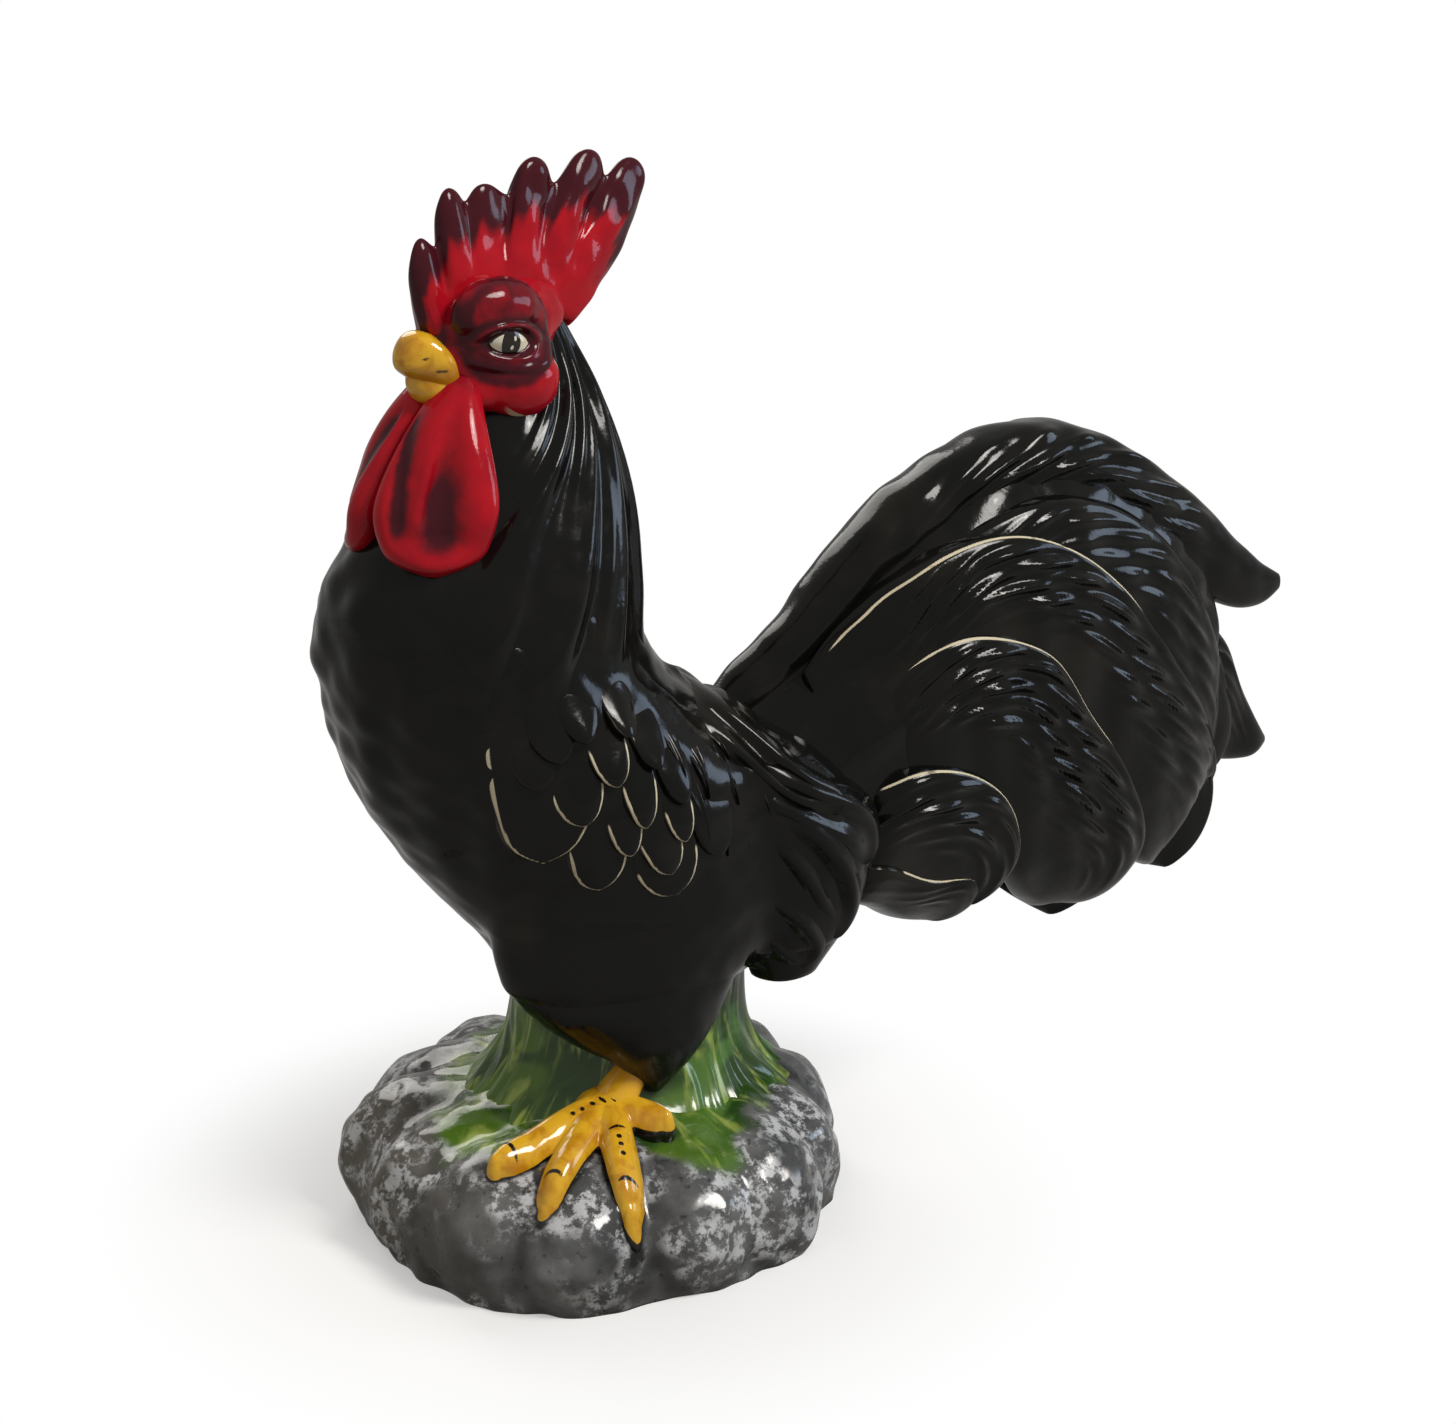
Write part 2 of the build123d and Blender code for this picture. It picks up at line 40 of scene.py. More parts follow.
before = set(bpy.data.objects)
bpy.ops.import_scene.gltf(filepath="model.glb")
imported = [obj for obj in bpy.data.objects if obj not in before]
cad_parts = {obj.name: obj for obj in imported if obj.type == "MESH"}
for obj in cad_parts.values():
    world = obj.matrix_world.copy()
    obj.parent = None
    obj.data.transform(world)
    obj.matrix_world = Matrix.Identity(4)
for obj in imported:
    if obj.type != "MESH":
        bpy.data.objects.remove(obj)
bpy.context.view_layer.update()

TURN = 2 * np.pi

# Torso and neck, level ellipses: height, front X, back X, half width
FIGURE = np.array((
    (76, -26, 51, 30), (94, -37, 64, 39), (112, -52, 69, 45), (134, -68, 66, 49),
    (156, -79, 46, 50), (180, -85.8, 19, 46), (204, -85.7, 11, 42), (224, -76, 10, 36),
    (244, -63, 7, 28), (264, -50, 1, 20.5), (284, -42, -8, 14), (301, -34, -19, 6)), float)
# Left thigh, level ellipses: height, front X, back X, inner Y, outer Y
THIGH = np.array((
    (50, -2, 5, 26, 38), (54, -5, 9, 23, 41), (60, -11, 16, 20, 43.2), (72, -28, 27, 15, 45.4),
    (89, -44, 36, 10, 46.5), (106, -46, 40, 8, 46.5), (126, -40, 34, 8, 44)), float)
# Heights between which a set-back thigh leans
THIGH_TOP = 126.0
THIGH_FOOT = 52.0
# Legs: name, side along Y, how far the leg is set back along X
STRIDE = 60.0
LEGS = (("left", -1, 0.0), ("right", 1, STRIDE))
# Tail core, upright superellipses: X, low, high, half thickness
TAIL = np.array((
    (10, 108, 144, 22), (40, 100, 154, 27), (72, 93, 174, 29), (104, 87, 204, 29),
    (136, 81, 223, 28), (166, 78, 227, 26), (196, 77, 217, 22), (222, 87, 196, 16),
    (240, 112, 174, 9)), float)
# Saddle, level ellipses of the left one: height, front X, back X, inner Y, outer Y
SADDLE = np.array((
    (74, 40, 66, 16, 38), (92, 34, 80, 12, 43), (112, 30, 86, 10, 46), (134, 22, 80, 6, 47),
    (156, 14, 58, 2, 38), (172, 8, 36, 0, 24)), float)
# Sickle feathers on the middle plane, upright superellipses: X, low, high, half thickness
UPPER_SICKLE = np.array((
    (44, 144, 164, 7), (71, 160, 186.5, 10), (95, 183, 210.5, 12), (120, 200, 226.5, 13.5),
    (150, 209, 236.5, 14.5), (180, 205, 234, 14.5), (206, 190, 221.5, 13), (230, 171, 205, 10),
    (252, 161, 185.5, 7), (266, 161, 174.5, 4.5), (272.5, 164.5, 170.5, 2)), float)
LOWER_SICKLE = np.array((
    (206, 122, 170, 10), (226, 112, 166, 10), (240, 107, 158, 9), (249, 105, 148, 7.5),
    (260, 103.5, 127, 5.5), (267, 105, 115.5, 3.5), (270.3, 107.5, 111, 1.6)), float)
# Side feathers of the tail, side view: upper edge and lower edge, both from root to tip
TAIL_FEATHERS = (
    (((98, 194), (130, 210), (160, 216), (195, 205), (222, 182), (240, 152), (250, 126), (248, 106),
      (237, 96)),
     ((104, 180), (150, 188), (180, 172), (200, 146), (212, 120), (222, 104), (237, 96))),
    (((66, 168), (86, 187), (111, 202.5), (136, 208), (160, 202), (186, 184), (212, 155), (235, 127),
      (247, 101), (243, 78), (227, 68)),
     ((72, 148), (108, 162), (142, 162), (166, 144), (182, 118), (194, 96), (206, 78), (227, 68))),
    (((78, 152), (97, 170), (117, 178), (137, 175), (156, 164.5), (168, 148.5), (183, 130), (197, 110),
      (205, 88), (195, 68), (176, 60.5)),
     ((80, 130), (106, 131), (124, 122), (134, 108), (144, 91), (157, 74), (176, 60.5))),
    (((76, 124), (92, 135), (105, 137), (119, 133.5), (133, 124.5), (144, 108), (146, 95), (140, 85),
      (129, 79)),
     ((74, 100), (90, 98), (102, 92), (109, 86), (116, 81), (129, 79))),
    (((70, 104), (88, 106.5), (104, 99), (117, 94), (130, 91), (133, 82), (127, 75.5), (119, 73)),
     ((68, 92), (84, 88), (96, 82), (107, 75), (119, 73))),
)
# Side feathers of the tail: stand-off beyond the first, share of barbs, cream line from and to along
# the feather, share of the relief left at the lower edge
TAIL_FORMS = (
    (0, 1.0, (0, 0), 0.4), (1.7, 2.0, (0.03, 0.56), 0.35), (3.4, 2.2, (0.05, 0.62), 0.35),
    (5.0, 1.4, (0.1, 0.8), 0.6), (5.6, 0.5, (0.3, 0.75), 0.6))
# Share of a tail feather's height that rolls over slowly below its upper edge
TAIL_ROLL = 0.36
# How deep a feather's back lies under its host
BURIED = 9.0
# Roots of rolled and of plain feathers: depth sunk, step where that ends, steps where the relief rises
ROLLED_ROOT = (5.0, 0.2, -0.04, 0.26)
PLAIN_ROOT = (4.0, 0.3, -0.06, 0.2)
# Saddle feathers, side view: upper edge, lower edge, relief
SADDLE_FEATHERS = (
    (((30, 118), (46, 108), (58, 97), (62, 87), (52, 78)),
     ((24, 102), (28, 90), (38, 79), (52, 78)), 3.0),
    (((34, 140), (52, 134), (66, 122), (74, 104), (72, 92), (64, 87)),
     ((26, 128), (36, 112), (48, 96), (64, 87)), 4.2),
    (((24, 158), (42, 152), (58, 145), (74, 138), (84, 127), (82, 116), (74, 111)),
     ((22, 140), (34, 130), (46, 121), (58, 113), (74, 111)), 4.6),
    (((16, 180), (30, 172), (44, 159), (58, 146), (66, 138), (62, 131)),
     ((10, 168), (22, 154), (32, 141), (44, 132), (62, 131)), 5.4),
)
# Wing scales: root X, root Z, tip X, tip Z, half width, relief, cream edge
WING_SCALES = np.array((
    (-10, 142, -4, 111, 15, 1.3, 1.0), (-41, 206, -38.5, 134, 17.5, 1.7, 1.0),
    (-24, 156, -22, 123.5, 10.5, 2.0, 1.0), (-6, 146, 3, 118.5, 12, 2.3, 1.0),
    (12, 158, 18, 128, 9, 2.2, 0.0), (-8, 154, 0, 126, 8.5, 2.8, 0.9), (-18, 160, -14, 134.5, 7, 3.0, 0.9),
    (0, 160, 4, 136, 6.5, 3.2, 0.8), (-33, 178, -29, 146.5, 10, 2.8, 1.0),
    (-43, 181, -42.5, 159, 7.5, 2.9, 0.0),
    (-12, 172, -10, 143, 7, 3.6, 1.0), (0, 172, 4, 148, 7, 3.4, 0.0), (-38, 192, -36.5, 167, 8.5, 3.5, 0.0),
    (-22, 184, -19, 157.5, 8, 3.8, 0.9), (-8, 182, -4, 160, 7, 3.8, 0.0), (-29, 192, -28, 172, 8, 4.2, 0.0),
    (-15, 192, -13, 171, 7, 4.4, 0.35)), float)
# Back feathers between wing and saddle: root X, root Z, tip X, tip Z, half width, relief
BACK_FEATHERS = np.array((
    (20, 160, 30, 122, 6, 2.4), (12, 164, 21, 126, 6, 2.8), (4, 168, 13, 130, 6, 3.2),
    (25, 162, 38, 134, 5.5, 3.2), (15, 169, 26, 141, 5.5, 3.5), (5, 174, 14, 146, 5.5, 4.0),
    (-2, 181, 5, 152, 5.5, 4.2), (14, 174, 26, 154, 5, 3.6)), float)
# Head, in its own directions from the neck axis: forward, left, height
HEAD_AXIS = np.array((-22.0, 0.0, 0.0))
HEAD_TURN = np.radians(12.0)
LOOK = np.array((-np.cos(HEAD_TURN), -np.sin(HEAD_TURN), 0.0))
LEFT = np.array((np.sin(HEAD_TURN), -np.cos(HEAD_TURN), 0.0))
# Lumps of the head: forward, left, height, then the three half sizes
HEAD_LUMPS = np.array((
    (12, 0, 283, 21.5, 16.5, 18), (17, 11.5, 293, 16, 8, 10), (13, -10, 293, 13, 7.5, 9.5),
    (8, 12.5, 271, 12.5, 8.5, 12.5), (8, -12.5, 271, 12.5, 8.5, 12.5), (25, 0, 282, 10.5, 9.2, 9.5),
    (20, 6, 268, 9, 7, 6), (20, -6, 268, 9, 7, 6), (-1, 0, 289, 15, 11, 12)), float)
# Place inside the head that the rays to its surface start from
HEAD_MIDDLE = (10.0, 0.0, 282.0)
# Sides of the head, along its own left
HEAD_SIDES = (("left", 1), ("right", -1))
# Eye on the side of the head: forward, height, half length, half height, slant
EYE_FORWARD, EYE_HEIGHT, EYE_LONG, EYE_TALL, EYE_SLANT = 15.8, 283.8, 6.4, 3.2, 0.08
# Comb outline from front to back: forward, height
COMB = np.array((
    (34.5, 286), (36.5, 293), (37.6, 300), (37.3, 308.5), (33.3, 313), (29.6, 310.5), (28.4, 315),
    (27, 323), (24.2, 326), (20.6, 324.5), (18.3, 322), (14.3, 325.4), (10.6, 326.2), (6, 324),
    (3.2, 322.6), (-1.4, 329.8), (-6.9, 332.4), (-11.2, 329.6), (-13.9, 324.6), (-20, 329.6), (-27, 333),
    (-31.3, 330.4), (-32.7, 325.2), (-38.1, 328), (-44.5, 329), (-47.9, 325), (-46.5, 318), (-42.4, 309.3),
    (-37.7, 301.7), (-30.6, 294.5), (-20.1, 284.1)), float)
# Beak slices: forward, low, high, half width
UPPER_BEAK = np.array((
    (18, 268.5, 277, 5), (26, 269, 281.5, 7.6), (32, 270, 286, 9.2), (36.4, 272, 287.4, 7.6),
    (40, 274.6, 286.2, 5.6), (42.3, 276.8, 283.8, 3.8), (43.6, 278.6, 282, 1.8)), float)
LOWER_BEAK = np.array((
    (16, 264.5, 276, 5), (24, 264.8, 276.5, 7), (30, 265.2, 277, 7.4), (34.5, 266.2, 277, 6.4),
    (37.4, 268, 276.5, 4.6), (39.2, 270.6, 275.5, 2.4)), float)
# Left wattle, level ellipses: height, forward, left, half length, half thickness
WATTLE = np.array((
    (221, 44.5, 16.2, 4, 3.5), (224, 44.4, 16.2, 11, 6), (229, 43.8, 15.6, 15.5, 8),
    (238, 42.2, 14.4, 17.8, 9), (248, 39, 12.5, 16, 8.5), (261, 33.5, 9.6, 11, 7.5), (270, 28, 6.5, 7, 6),
    (277, 23, 3.5, 4, 4)), float)
# Turn of the wattle's long side away from the look
WATTLE_TURN = np.radians(139.0)
# Grass mound, level ellipses: height, front X, back X, half width
MOUND = np.array((
    (36, -50, 64, 50), (42, -43, 58, 42), (47, -37.5, 54.5, 38), (56, -31, 51, 33), (67, -28, 50, 31),
    (86, -25, 51, 31)), float)
# Rock: radius, height and fullness of the dome
DOME = (78.0, 47.0, 3.0)
# Ring of stones round the dome: how many, radius of the ring, height of their middles, their own radius
# and how much that varies
STONES = 13
STONE_RING = 58.0
STONE_HEIGHT = 15.0
STONE_RADIUS = 25.5
STONE_VARIETY = 1.5
# Drain hole in the floor: X, depth of the dent, inner and outer radius of its edge
DRAIN_X, DRAIN_DEPTH, DRAIN_INNER, DRAIN_OUTER = 36, 7, 4.5, 6.5
# Edge of the green paint on the rock: degrees from +X, distance
PAINT_EDGE = np.array((
    (0, 56), (40, 54), (90, 56), (125, 50), (153, 50), (183, 59), (207, 65), (225, 56), (240, 48), (255, 50),
    (272, 68), (284, 66), (296, 58), (323, 55), (360, 56)), float)
# Left foot in plan, Y being the distance from the middle plane: hub, and the ways from it to the toe tips
FOOT_HUB = np.array((-14.0, 33.0))
TOE_WAYS = np.array(((-56, 41), (-49, 59), (-26.5, 72.5), (-2, 49)), float) - FOOT_HUB
# Half width of a toe, and radius of the pad that joins the toes
TOE_HALF_WIDTH = 5.6
HUB_RADIUS = 10.5
# Upper end of the shank in plan and its height
SHANK_X, SHANK_Y, SHANK_TOP = 1.5, 29.5, 62
# Places round a point of the sole where the rock's height is read and averaged
AROUND = ((0, 0), (5, 0), (-5, 0), (0, 5), (0, -5))
# Distance to each side over which the rock's slope is read
SLOPE_SPAN = 7
# Share of its thickness by which the set-back foot leans along the rock's normal
FOOT_LEAN = 0.9
# Painted marks on the toes: toe, share of its length, sideways, half length along and across
TOE_DOTS = ((0, 0.34, 1.6, 0.85, 0.85), (0, 0.26, 1.9, 0.85, 0.85), (0, 0.17, 2.1, 0.8, 1.2),
            (2, 0.5, 0, 0.9, 0.9), (2, 0.58, 0, 0.9, 0.9), (2, 0.67, 0, 0.9, 0.9), (2, 0.4, 0, 0.55, 3.2),
            (0, 0.86, 0, 0.7, 4.2), (1, 0.84, 0, 0.6, 3.6), (2, 0.86, 0, 0.6, 3.4),
            (0, 0.09, 2.6, 0.7, 2.0), (0, 0.02, 3.0, 0.75, 3.0))
# Point that the lamps and the camera look at, in metres, and the camera's direction from it
TARGET = Vector((0.036, -0.021, 0.163))
CAMERA_AZIMUTH = np.radians(-30.0)
CAMERA_ELEVATION = np.radians(18.0)
WARM = (1.0, 0.97, 0.92)
WHITE = (1.0, 1.0, 1.0, 1.0)
# Lamps: name, place and size in metres, tint, whether the glaze mirrors them
LAMPS = (
    ("key", (0.6, -0.95, 1.35), 0.6, WARM, True), ("cool", (1.05, -0.4, 0.45), 0.4, (0.62, 0.78, 1.0), True),
    ("core", (0.6, -0.95, 1.34), 0.16, WARM, True), ("rear", (0.1, 1.3, 1.1), 1.0, WARM, True),
    ("fill", (-1.3, -0.8, 1.0), 1.9, (1.0, 0.95, 0.88), False))


def smooth(low, high, value):
    """Rises from 0 at low to 1 at high along a cubic with level ends."""
    share = np.clip((value - low) / (high - low), 0, 1)
    return share * share * (3 - 2 * share)


def bump(value, width):
    """Bell that is 1 at zero and falls off over the width."""
    return np.exp(-(value / width) ** 2)


def through(table):
    """Natural cubic spline through rows of a knot and its values; gives the values at any knots."""
    knots, values = table[:, 0], table[:, 1:]
    gap = np.diff(knots)
    inner = np.arange(1, len(knots) - 1)
    left = np.eye(len(knots))
    left[inner, inner - 1] = gap[:-1]
    left[inner, inner] = 2 * (gap[:-1] + gap[1:])
    left[inner, inner + 1] = gap[1:]
    right = np.zeros_like(values)
    right[1:-1] = 6 * np.diff(np.diff(values, axis=0) / gap[:, None], axis=0)
    bend = np.linalg.solve(left, right)

    def value(at):
        """Line between the two nearest knots plus its cubic bend."""
        at = np.clip(at, knots[0], knots[-1])
        cell = np.clip(np.searchsorted(knots, at, side="right") - 1, 0, len(gap) - 1)
        size = gap[cell][..., None]
        above = (at - knots[cell])[..., None] / size
        below = 1 - above
        line = below * values[cell] + above * values[cell + 1]
        curl = (below**3 - below) * bend[cell] + (above**3 - above) * bend[cell + 1]
        return np.moveaxis(line + curl * size**2 / 6, -1, 0)

    return value


def along(points):
    """Spline along a row of points, as a function of the share of its length."""
    points = np.asarray(points, float)
    steps = np.hypot(*np.diff(points, axis=0).T)
    share = np.concatenate(((0,), np.cumsum(steps))) / steps.sum()
    return through(np.column_stack((share, points)))


figure_at, thigh_at, tail_at, saddle_at, mound_at, wattle_at = map(
    through, (FIGURE, THIGH, TAIL, SADDLE, MOUND, WATTLE))


def lumps(x, y, z, size, seed):
    """Soft uneven swell: a sum of nine plane waves of about one length in seeded directions."""
    waves = 9
    dice = np.random.default_rng(seed)
    total = 0
    for _ in range(waves):
        way = dice.normal(size=3)
        way *= TURN / np.linalg.norm(way) / (size * dice.uniform(0.7, 1.4))
        total = total + np.sin(way[0] * x + way[1] * y + way[2] * z + dice.uniform(0, TURN))
    return total / np.sqrt(waves)


def wave(turns):
    """Wave between 0 and 1, once a turn."""
    return 0.5 + 0.5 * np.cos(TURN * turns)


def swelled(value, power):
    """Value between -1 and 1 raised to a power, with its sign kept."""
    return np.sign(value) * np.abs(value) ** power


def circle(count):
    """Angles evenly spaced round a ring, as a row."""
    return np.linspace(0, TURN, count, endpoint=False)[None, :]


def column(low, high, count):
    """Values evenly spaced between two ends, as a column."""
    return np.linspace(low, high, count)[:, None]


def rays(rise, angle):
    """Directions from a middle, by their rise over the level and their angle round the upright."""
    return np.cos(rise) * np.cos(angle), np.cos(rise) * np.sin(angle), np.sin(rise) + 0 * angle


def size_of(key):
    """One of the sizes, in millimetres."""
    return getattr(bpy.context.scene.rooster_sizes, key) * 1000


def barbs(aside, ahead):
    """Height of soft comma-shaped barbs: ridges that run aslant to an edge and swell and fade along it.

    aside is the distance from the edge and ahead the way along it.
    """
    ridge = aside / 6.5 + ahead / 21
    swell = wave(ahead / 31 - 0.55 * ridge)
    return (0.5 + 0.5 * np.cos(TURN * ridge + 0.8 * np.sin(ahead / 9))) ** 1.3 * (0.25 + 0.75 * swell)


def rounded(gap, radius):
    """Quarter circle that rises from 0 at an edge to 1 from one radius inwards."""
    return np.sqrt(1 - (1 - np.clip(gap / radius, 0, 1)) ** 2)


def dents(x, y, z):
    """Shallow uneven dents of the clay, deeper on the breast than on the flanks."""
    deep = 0.35 + 0.65 * smooth(5, -45, x) * smooth(112, 150, z)
    return deep * (0.75 * lumps(x, y, z, 22, 5) + 0.3 * lumps(x, y, z, 11, 7))


def shoulder_at(x):
    """Height where the neck's surface passes into the torso's."""
    return np.interp(x, (-70, -56, -41, -13, 10), (203, 199, 187, 196, 196))


def side_of(x, z):
    """Half width of torso and neck at a point of the side view."""
    front, back, half = figure_at(z)
    middle, reach = (front + back) / 2, (back - front) / 2
    return half * np.sqrt(np.clip(1 - ((x - middle) / reach) ** 2, 0, 1))


def tail_side(x, z, rim=12.0):
    """Half width of the tail at a point of the side view, its outline widened by a rim."""
    low, high, thick = tail_at(x)
    share = np.abs(z - (low + high) / 2) / ((high - low) / 2 + rim)
    return thick * np.sqrt(np.clip(1 - share**2.3, 0, 1)) * np.clip((262 - x) / 24, 0, 1) ** 0.5


def saddle_side(x, z):
    """Half width of the saddle at a point of the side view."""
    front, back, inner, outer = saddle_at(z)
    share = ((x - (front + back) / 2) / ((back - front) / 2)) ** 2
    body = (inner + outer) / 2 + (outer - inner) / 2 * np.sqrt(np.clip(1 - share, 0, 1))
    return np.where(share < 1, body, 0) * smooth(70, 80, z) * (1 - smooth(168, 178, z))


def soft_max(softness, *values):
    """Largest of several values, rounded off where two are close."""
    top = np.maximum.reduce(values)
    return top + softness * np.log(sum(np.exp((value - top) / softness) for value in values))


def soft_min(softness, *values):
    """Smallest of several values, rounded off where two are close."""
    return -soft_max(softness, *(-value for value in values))


def saddle_host(x, z):
    """Half width of torso, tail and saddle together."""
    return soft_max(2.5, side_of(x, z), tail_side(x, z, 6.0), saddle_side(x, z) - 3.5) - 1.0


def rock_height(x, y):
    """Height of the rock under a plan position: the higher of the dome and the stones."""
    radius, top, power = DOME
    high = top * (1 - np.clip(np.hypot(x, y) / radius, 0, 1) ** power) ** (1 / power)
    for index in range(STONES):
        stone_x, stone_y, stone_radius = stone(index)
        gap = (x - stone_x) ** 2 + (y - stone_y) ** 2
        high = np.maximum(high, STONE_HEIGHT + np.sqrt(np.clip(stone_radius**2 - gap, 0, None)))
    return high


def stone(index):
    """Plan position and radius of one stone of the ring; the radii vary by steps of the golden angle."""
    angle = TURN * index / STONES - np.radians(9.2)
    radius = STONE_RADIUS + STONE_VARIETY * np.sin(np.radians(137.5 * index))
    return STONE_RING * np.cos(angle), STONE_RING * np.sin(angle), radius


def outermost(inside, start, way, far):
    """Distance along each ray to the surface, by halving the span between inside and outside."""
    near, far = np.zeros(way[0].shape), np.full(way[0].shape, float(far))
    for _ in range(24):
        middle = (near + far) / 2
        within = inside(*(begin + middle * step for begin, step in zip(start, way)))
        near, far = np.where(within, middle, near), np.where(within, far, middle)
    return near


def toe_spread(x, y, hub):
    """Distance from the nearest toe's middle line, in units of its half width.

    The distances to the toes are combined by a soft minimum, which webs them near the hub.
    """
    ahead, aside = x - hub[0], y - hub[1]
    shares = []
    for way in TOE_WAYS:
        step = np.clip((ahead * way[0] + aside * way[1]) / np.hypot(*way) ** 2, 0, 1)
        half = TOE_HALF_WIDTH * np.interp(step, (0, 0.4, 0.75, 0.92, 1), (1.05, 1.0, 0.98, 0.8, 0.5))
        shares.append(np.hypot(ahead - step * way[0], aside - step * way[1]) / half)
    shares.append(np.hypot(ahead, aside) / HUB_RADIUS)
    return soft_min(0.1, *shares)


def put(node, shells, slot):
    """Makes the piece that stands for a node from closed shells, and sets it on the frame.

    A shell is a grid of points (rows, ring, 3) in millimetres with its masks. Neighbouring rings
    are joined by four-sided faces and each end ring by a fan to its middle. A shell that encloses
    a negative volume is turned round.
    """
    name = f"{node}.skin"
    points, corners, sizes, masks = [], [], [], {}
    count = 0
    for rows, shell_masks in shells:
        n, m, _ = rows.shape
        flat = np.concatenate((rows.reshape(-1, 3), rows[:1].mean(1), rows[-1:].mean(1)))
        ring, after = np.arange(m), (np.arange(m) + 1) % m
        starts = (np.arange(n - 1) * m)[:, None]
        here, side = starts + ring, starts + after
        quads = np.stack((here, side, side + m, here + m), -1).reshape(-1, 4)
        first = np.stack((np.full(m, n * m), after, ring), -1)
        last = np.stack((np.full(m, n * m + 1), (n - 1) * m + ring, (n - 1) * m + after), -1)
        fans = np.concatenate((first, last))
        triangles = np.concatenate((quads[:, :3], quads[:, (0, 2, 3)], fans))
        a, b, c = (flat[triangles[:, k]] for k in range(3))
        if np.einsum("ij,ij->", a, np.cross(b, c)) < 0:
            quads, fans = quads[:, ::-1], fans[:, ::-1]
        points.append(flat)
        corners += [quads.ravel() + count, fans.ravel() + count]
        sizes += [np.full(len(quads), 4), np.full(len(fans), 3)]
        for key, values in shell_masks.items():
            ends = (values.ravel(), values[:1].mean(1), values[-1:].mean(1))
            masks.setdefault(key, []).append((count, np.concatenate(ends)))
        count += len(flat)
    points, corners, sizes = np.concatenate(points), np.concatenate(corners), np.concatenate(sizes)
    mesh = bpy.data.meshes.new(name)
    mesh.vertices.add(count)
    mesh.vertices.foreach_set("co", (points * 0.001).ravel())
    mesh.loops.add(len(corners))
    mesh.loops.foreach_set("vertex_index", corners)
    mesh.polygons.add(len(sizes))
    mesh.polygons.foreach_set("loop_start", np.cumsum(sizes) - sizes)
    mesh.polygons.foreach_set("use_smooth", np.ones(len(sizes), bool))
    for key, parts in masks.items():
        values = np.zeros(count)
        for start, part in parts:
            values[start:start + len(part)] = part
        mesh.attributes.new(key, "FLOAT", "POINT").data.foreach_set("value", values)
    mesh.update(calc_edges=True)
    if mesh.validate():
        raise RuntimeError(f"{name} has faulty faces")
    piece = bpy.data.objects.new(name, mesh)
    bpy.context.scene.collection.objects.link(piece)
    mesh.materials.append(glaze(slot))
    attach(piece, "root")
    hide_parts(node)


def mirrored(shells):
    """The shells on the other side of the middle plane."""
    return [(rows * np.array((1, -1, 1)), masks) for rows, masks in shells]


def put_pair(node, shells, slot):
    """Makes a piece on the left and its mirror image on the right."""
    put(f"left_{node}", shells, slot)
    put(f"right_{node}", mirrored(shells), slot)


def ring_angles(count, outer=0.72):
    """Angles round a ring that starts at an edge, most of them on the outer half."""
    near = int(count * outer)
    return np.concatenate((np.linspace(0, np.pi, near, endpoint=False),
                           np.linspace(np.pi, TURN, count - near, endpoint=False)))


def band(edges, step, angle):
    """Side view of a band between an upper and a lower edge, for steps along it and angles round it.

    Gives X, Z, the place across (1 at the upper edge, -1 at the lower), the width and the upper edge.
    """
    high, low = (along(edge)(step) for edge in edges)
    across = np.cos(angle)
    mix = (1 + across) / 2
    x, z = low * (1 - mix) + high * mix
    return x, z, across, np.hypot(*(high - low)), high


def feather(edges, host, relief, depth=0.0, rim=(0, 0), rows=90, ring=90, low=0.3, roll=0.0):
    """One feather on the left side.

    Its side view is the band between an upper and a lower edge that meet at the tip. Its outer
    face is the host's surface plus a relief, which rises from the root, is highest along the upper
    edge and sinks towards the lower one, plus barbs that lie aslant below the upper edge.
    Every edge is rounded by a quarter circle down to a buried back, and a share of the height rolls
    over more slowly below the upper edge. The rim mask marks a thin line inside the upper edge.
    """
    step = column(0.002, 0.998, rows)
    angle = ring_angles(ring)[None, :]
    x, z, across, width, upper = band(edges, step, angle)
    gap = (1 - across) / 2 * width
    length = np.hypot(*np.diff(upper, axis=1)).sum()
    held = host(x, z)
    edge = (1 - roll) * rounded(gap, np.minimum(2.4, width / 2))
    edge = edge + roll * rounded(gap, np.minimum(13.0, width / 2))
    edge = edge * rounded(width - gap, np.minimum(4.5, width / 2))
    ends = rounded((1 - step) * length, 5.0) * rounded(step * length, 3.0)
    zone = smooth(2.4, 6.5, gap) * (1 - smooth(0.4, 0.7, gap / width)) * smooth(0.08, 0.2, step)
    zone = zone * (1 - smooth(0.65, 0.9, step))
    rise = low + (1 - low) * smooth(-1.0, 0.85, across)
    sunk, sunk_end, rise_start, rise_end = ROLLED_ROOT if roll else PLAIN_ROOT
    lift = relief * rise * smooth(rise_start, rise_end, step) - sunk * (1 - smooth(0, sunk_end, step))
    lift = lift + depth * (barbs(gap, step * length) - 0.35) * zone + 0.4 * lumps(x, held, z, 19, 60)
    deep = np.maximum(held - BURIED, 0)
    level = deep + 0.35 * (held - deep)
    outer = level + (held + lift - level) * edge * ends
    inner = level - (level - deep) * edge * ends
    y = np.where(angle <= np.pi, outer, inner)
    line = (1 - smooth(0.15, 0.4, np.abs(gap - 1.8))) * (angle < np.pi)
    line = line * smooth(rim[0], rim[0] + 0.04, step) * (1 - smooth(rim[1] - 0.06, rim[1] + 0.001, step))
    return np.stack((x, -y, z), -1), {"rim": line}


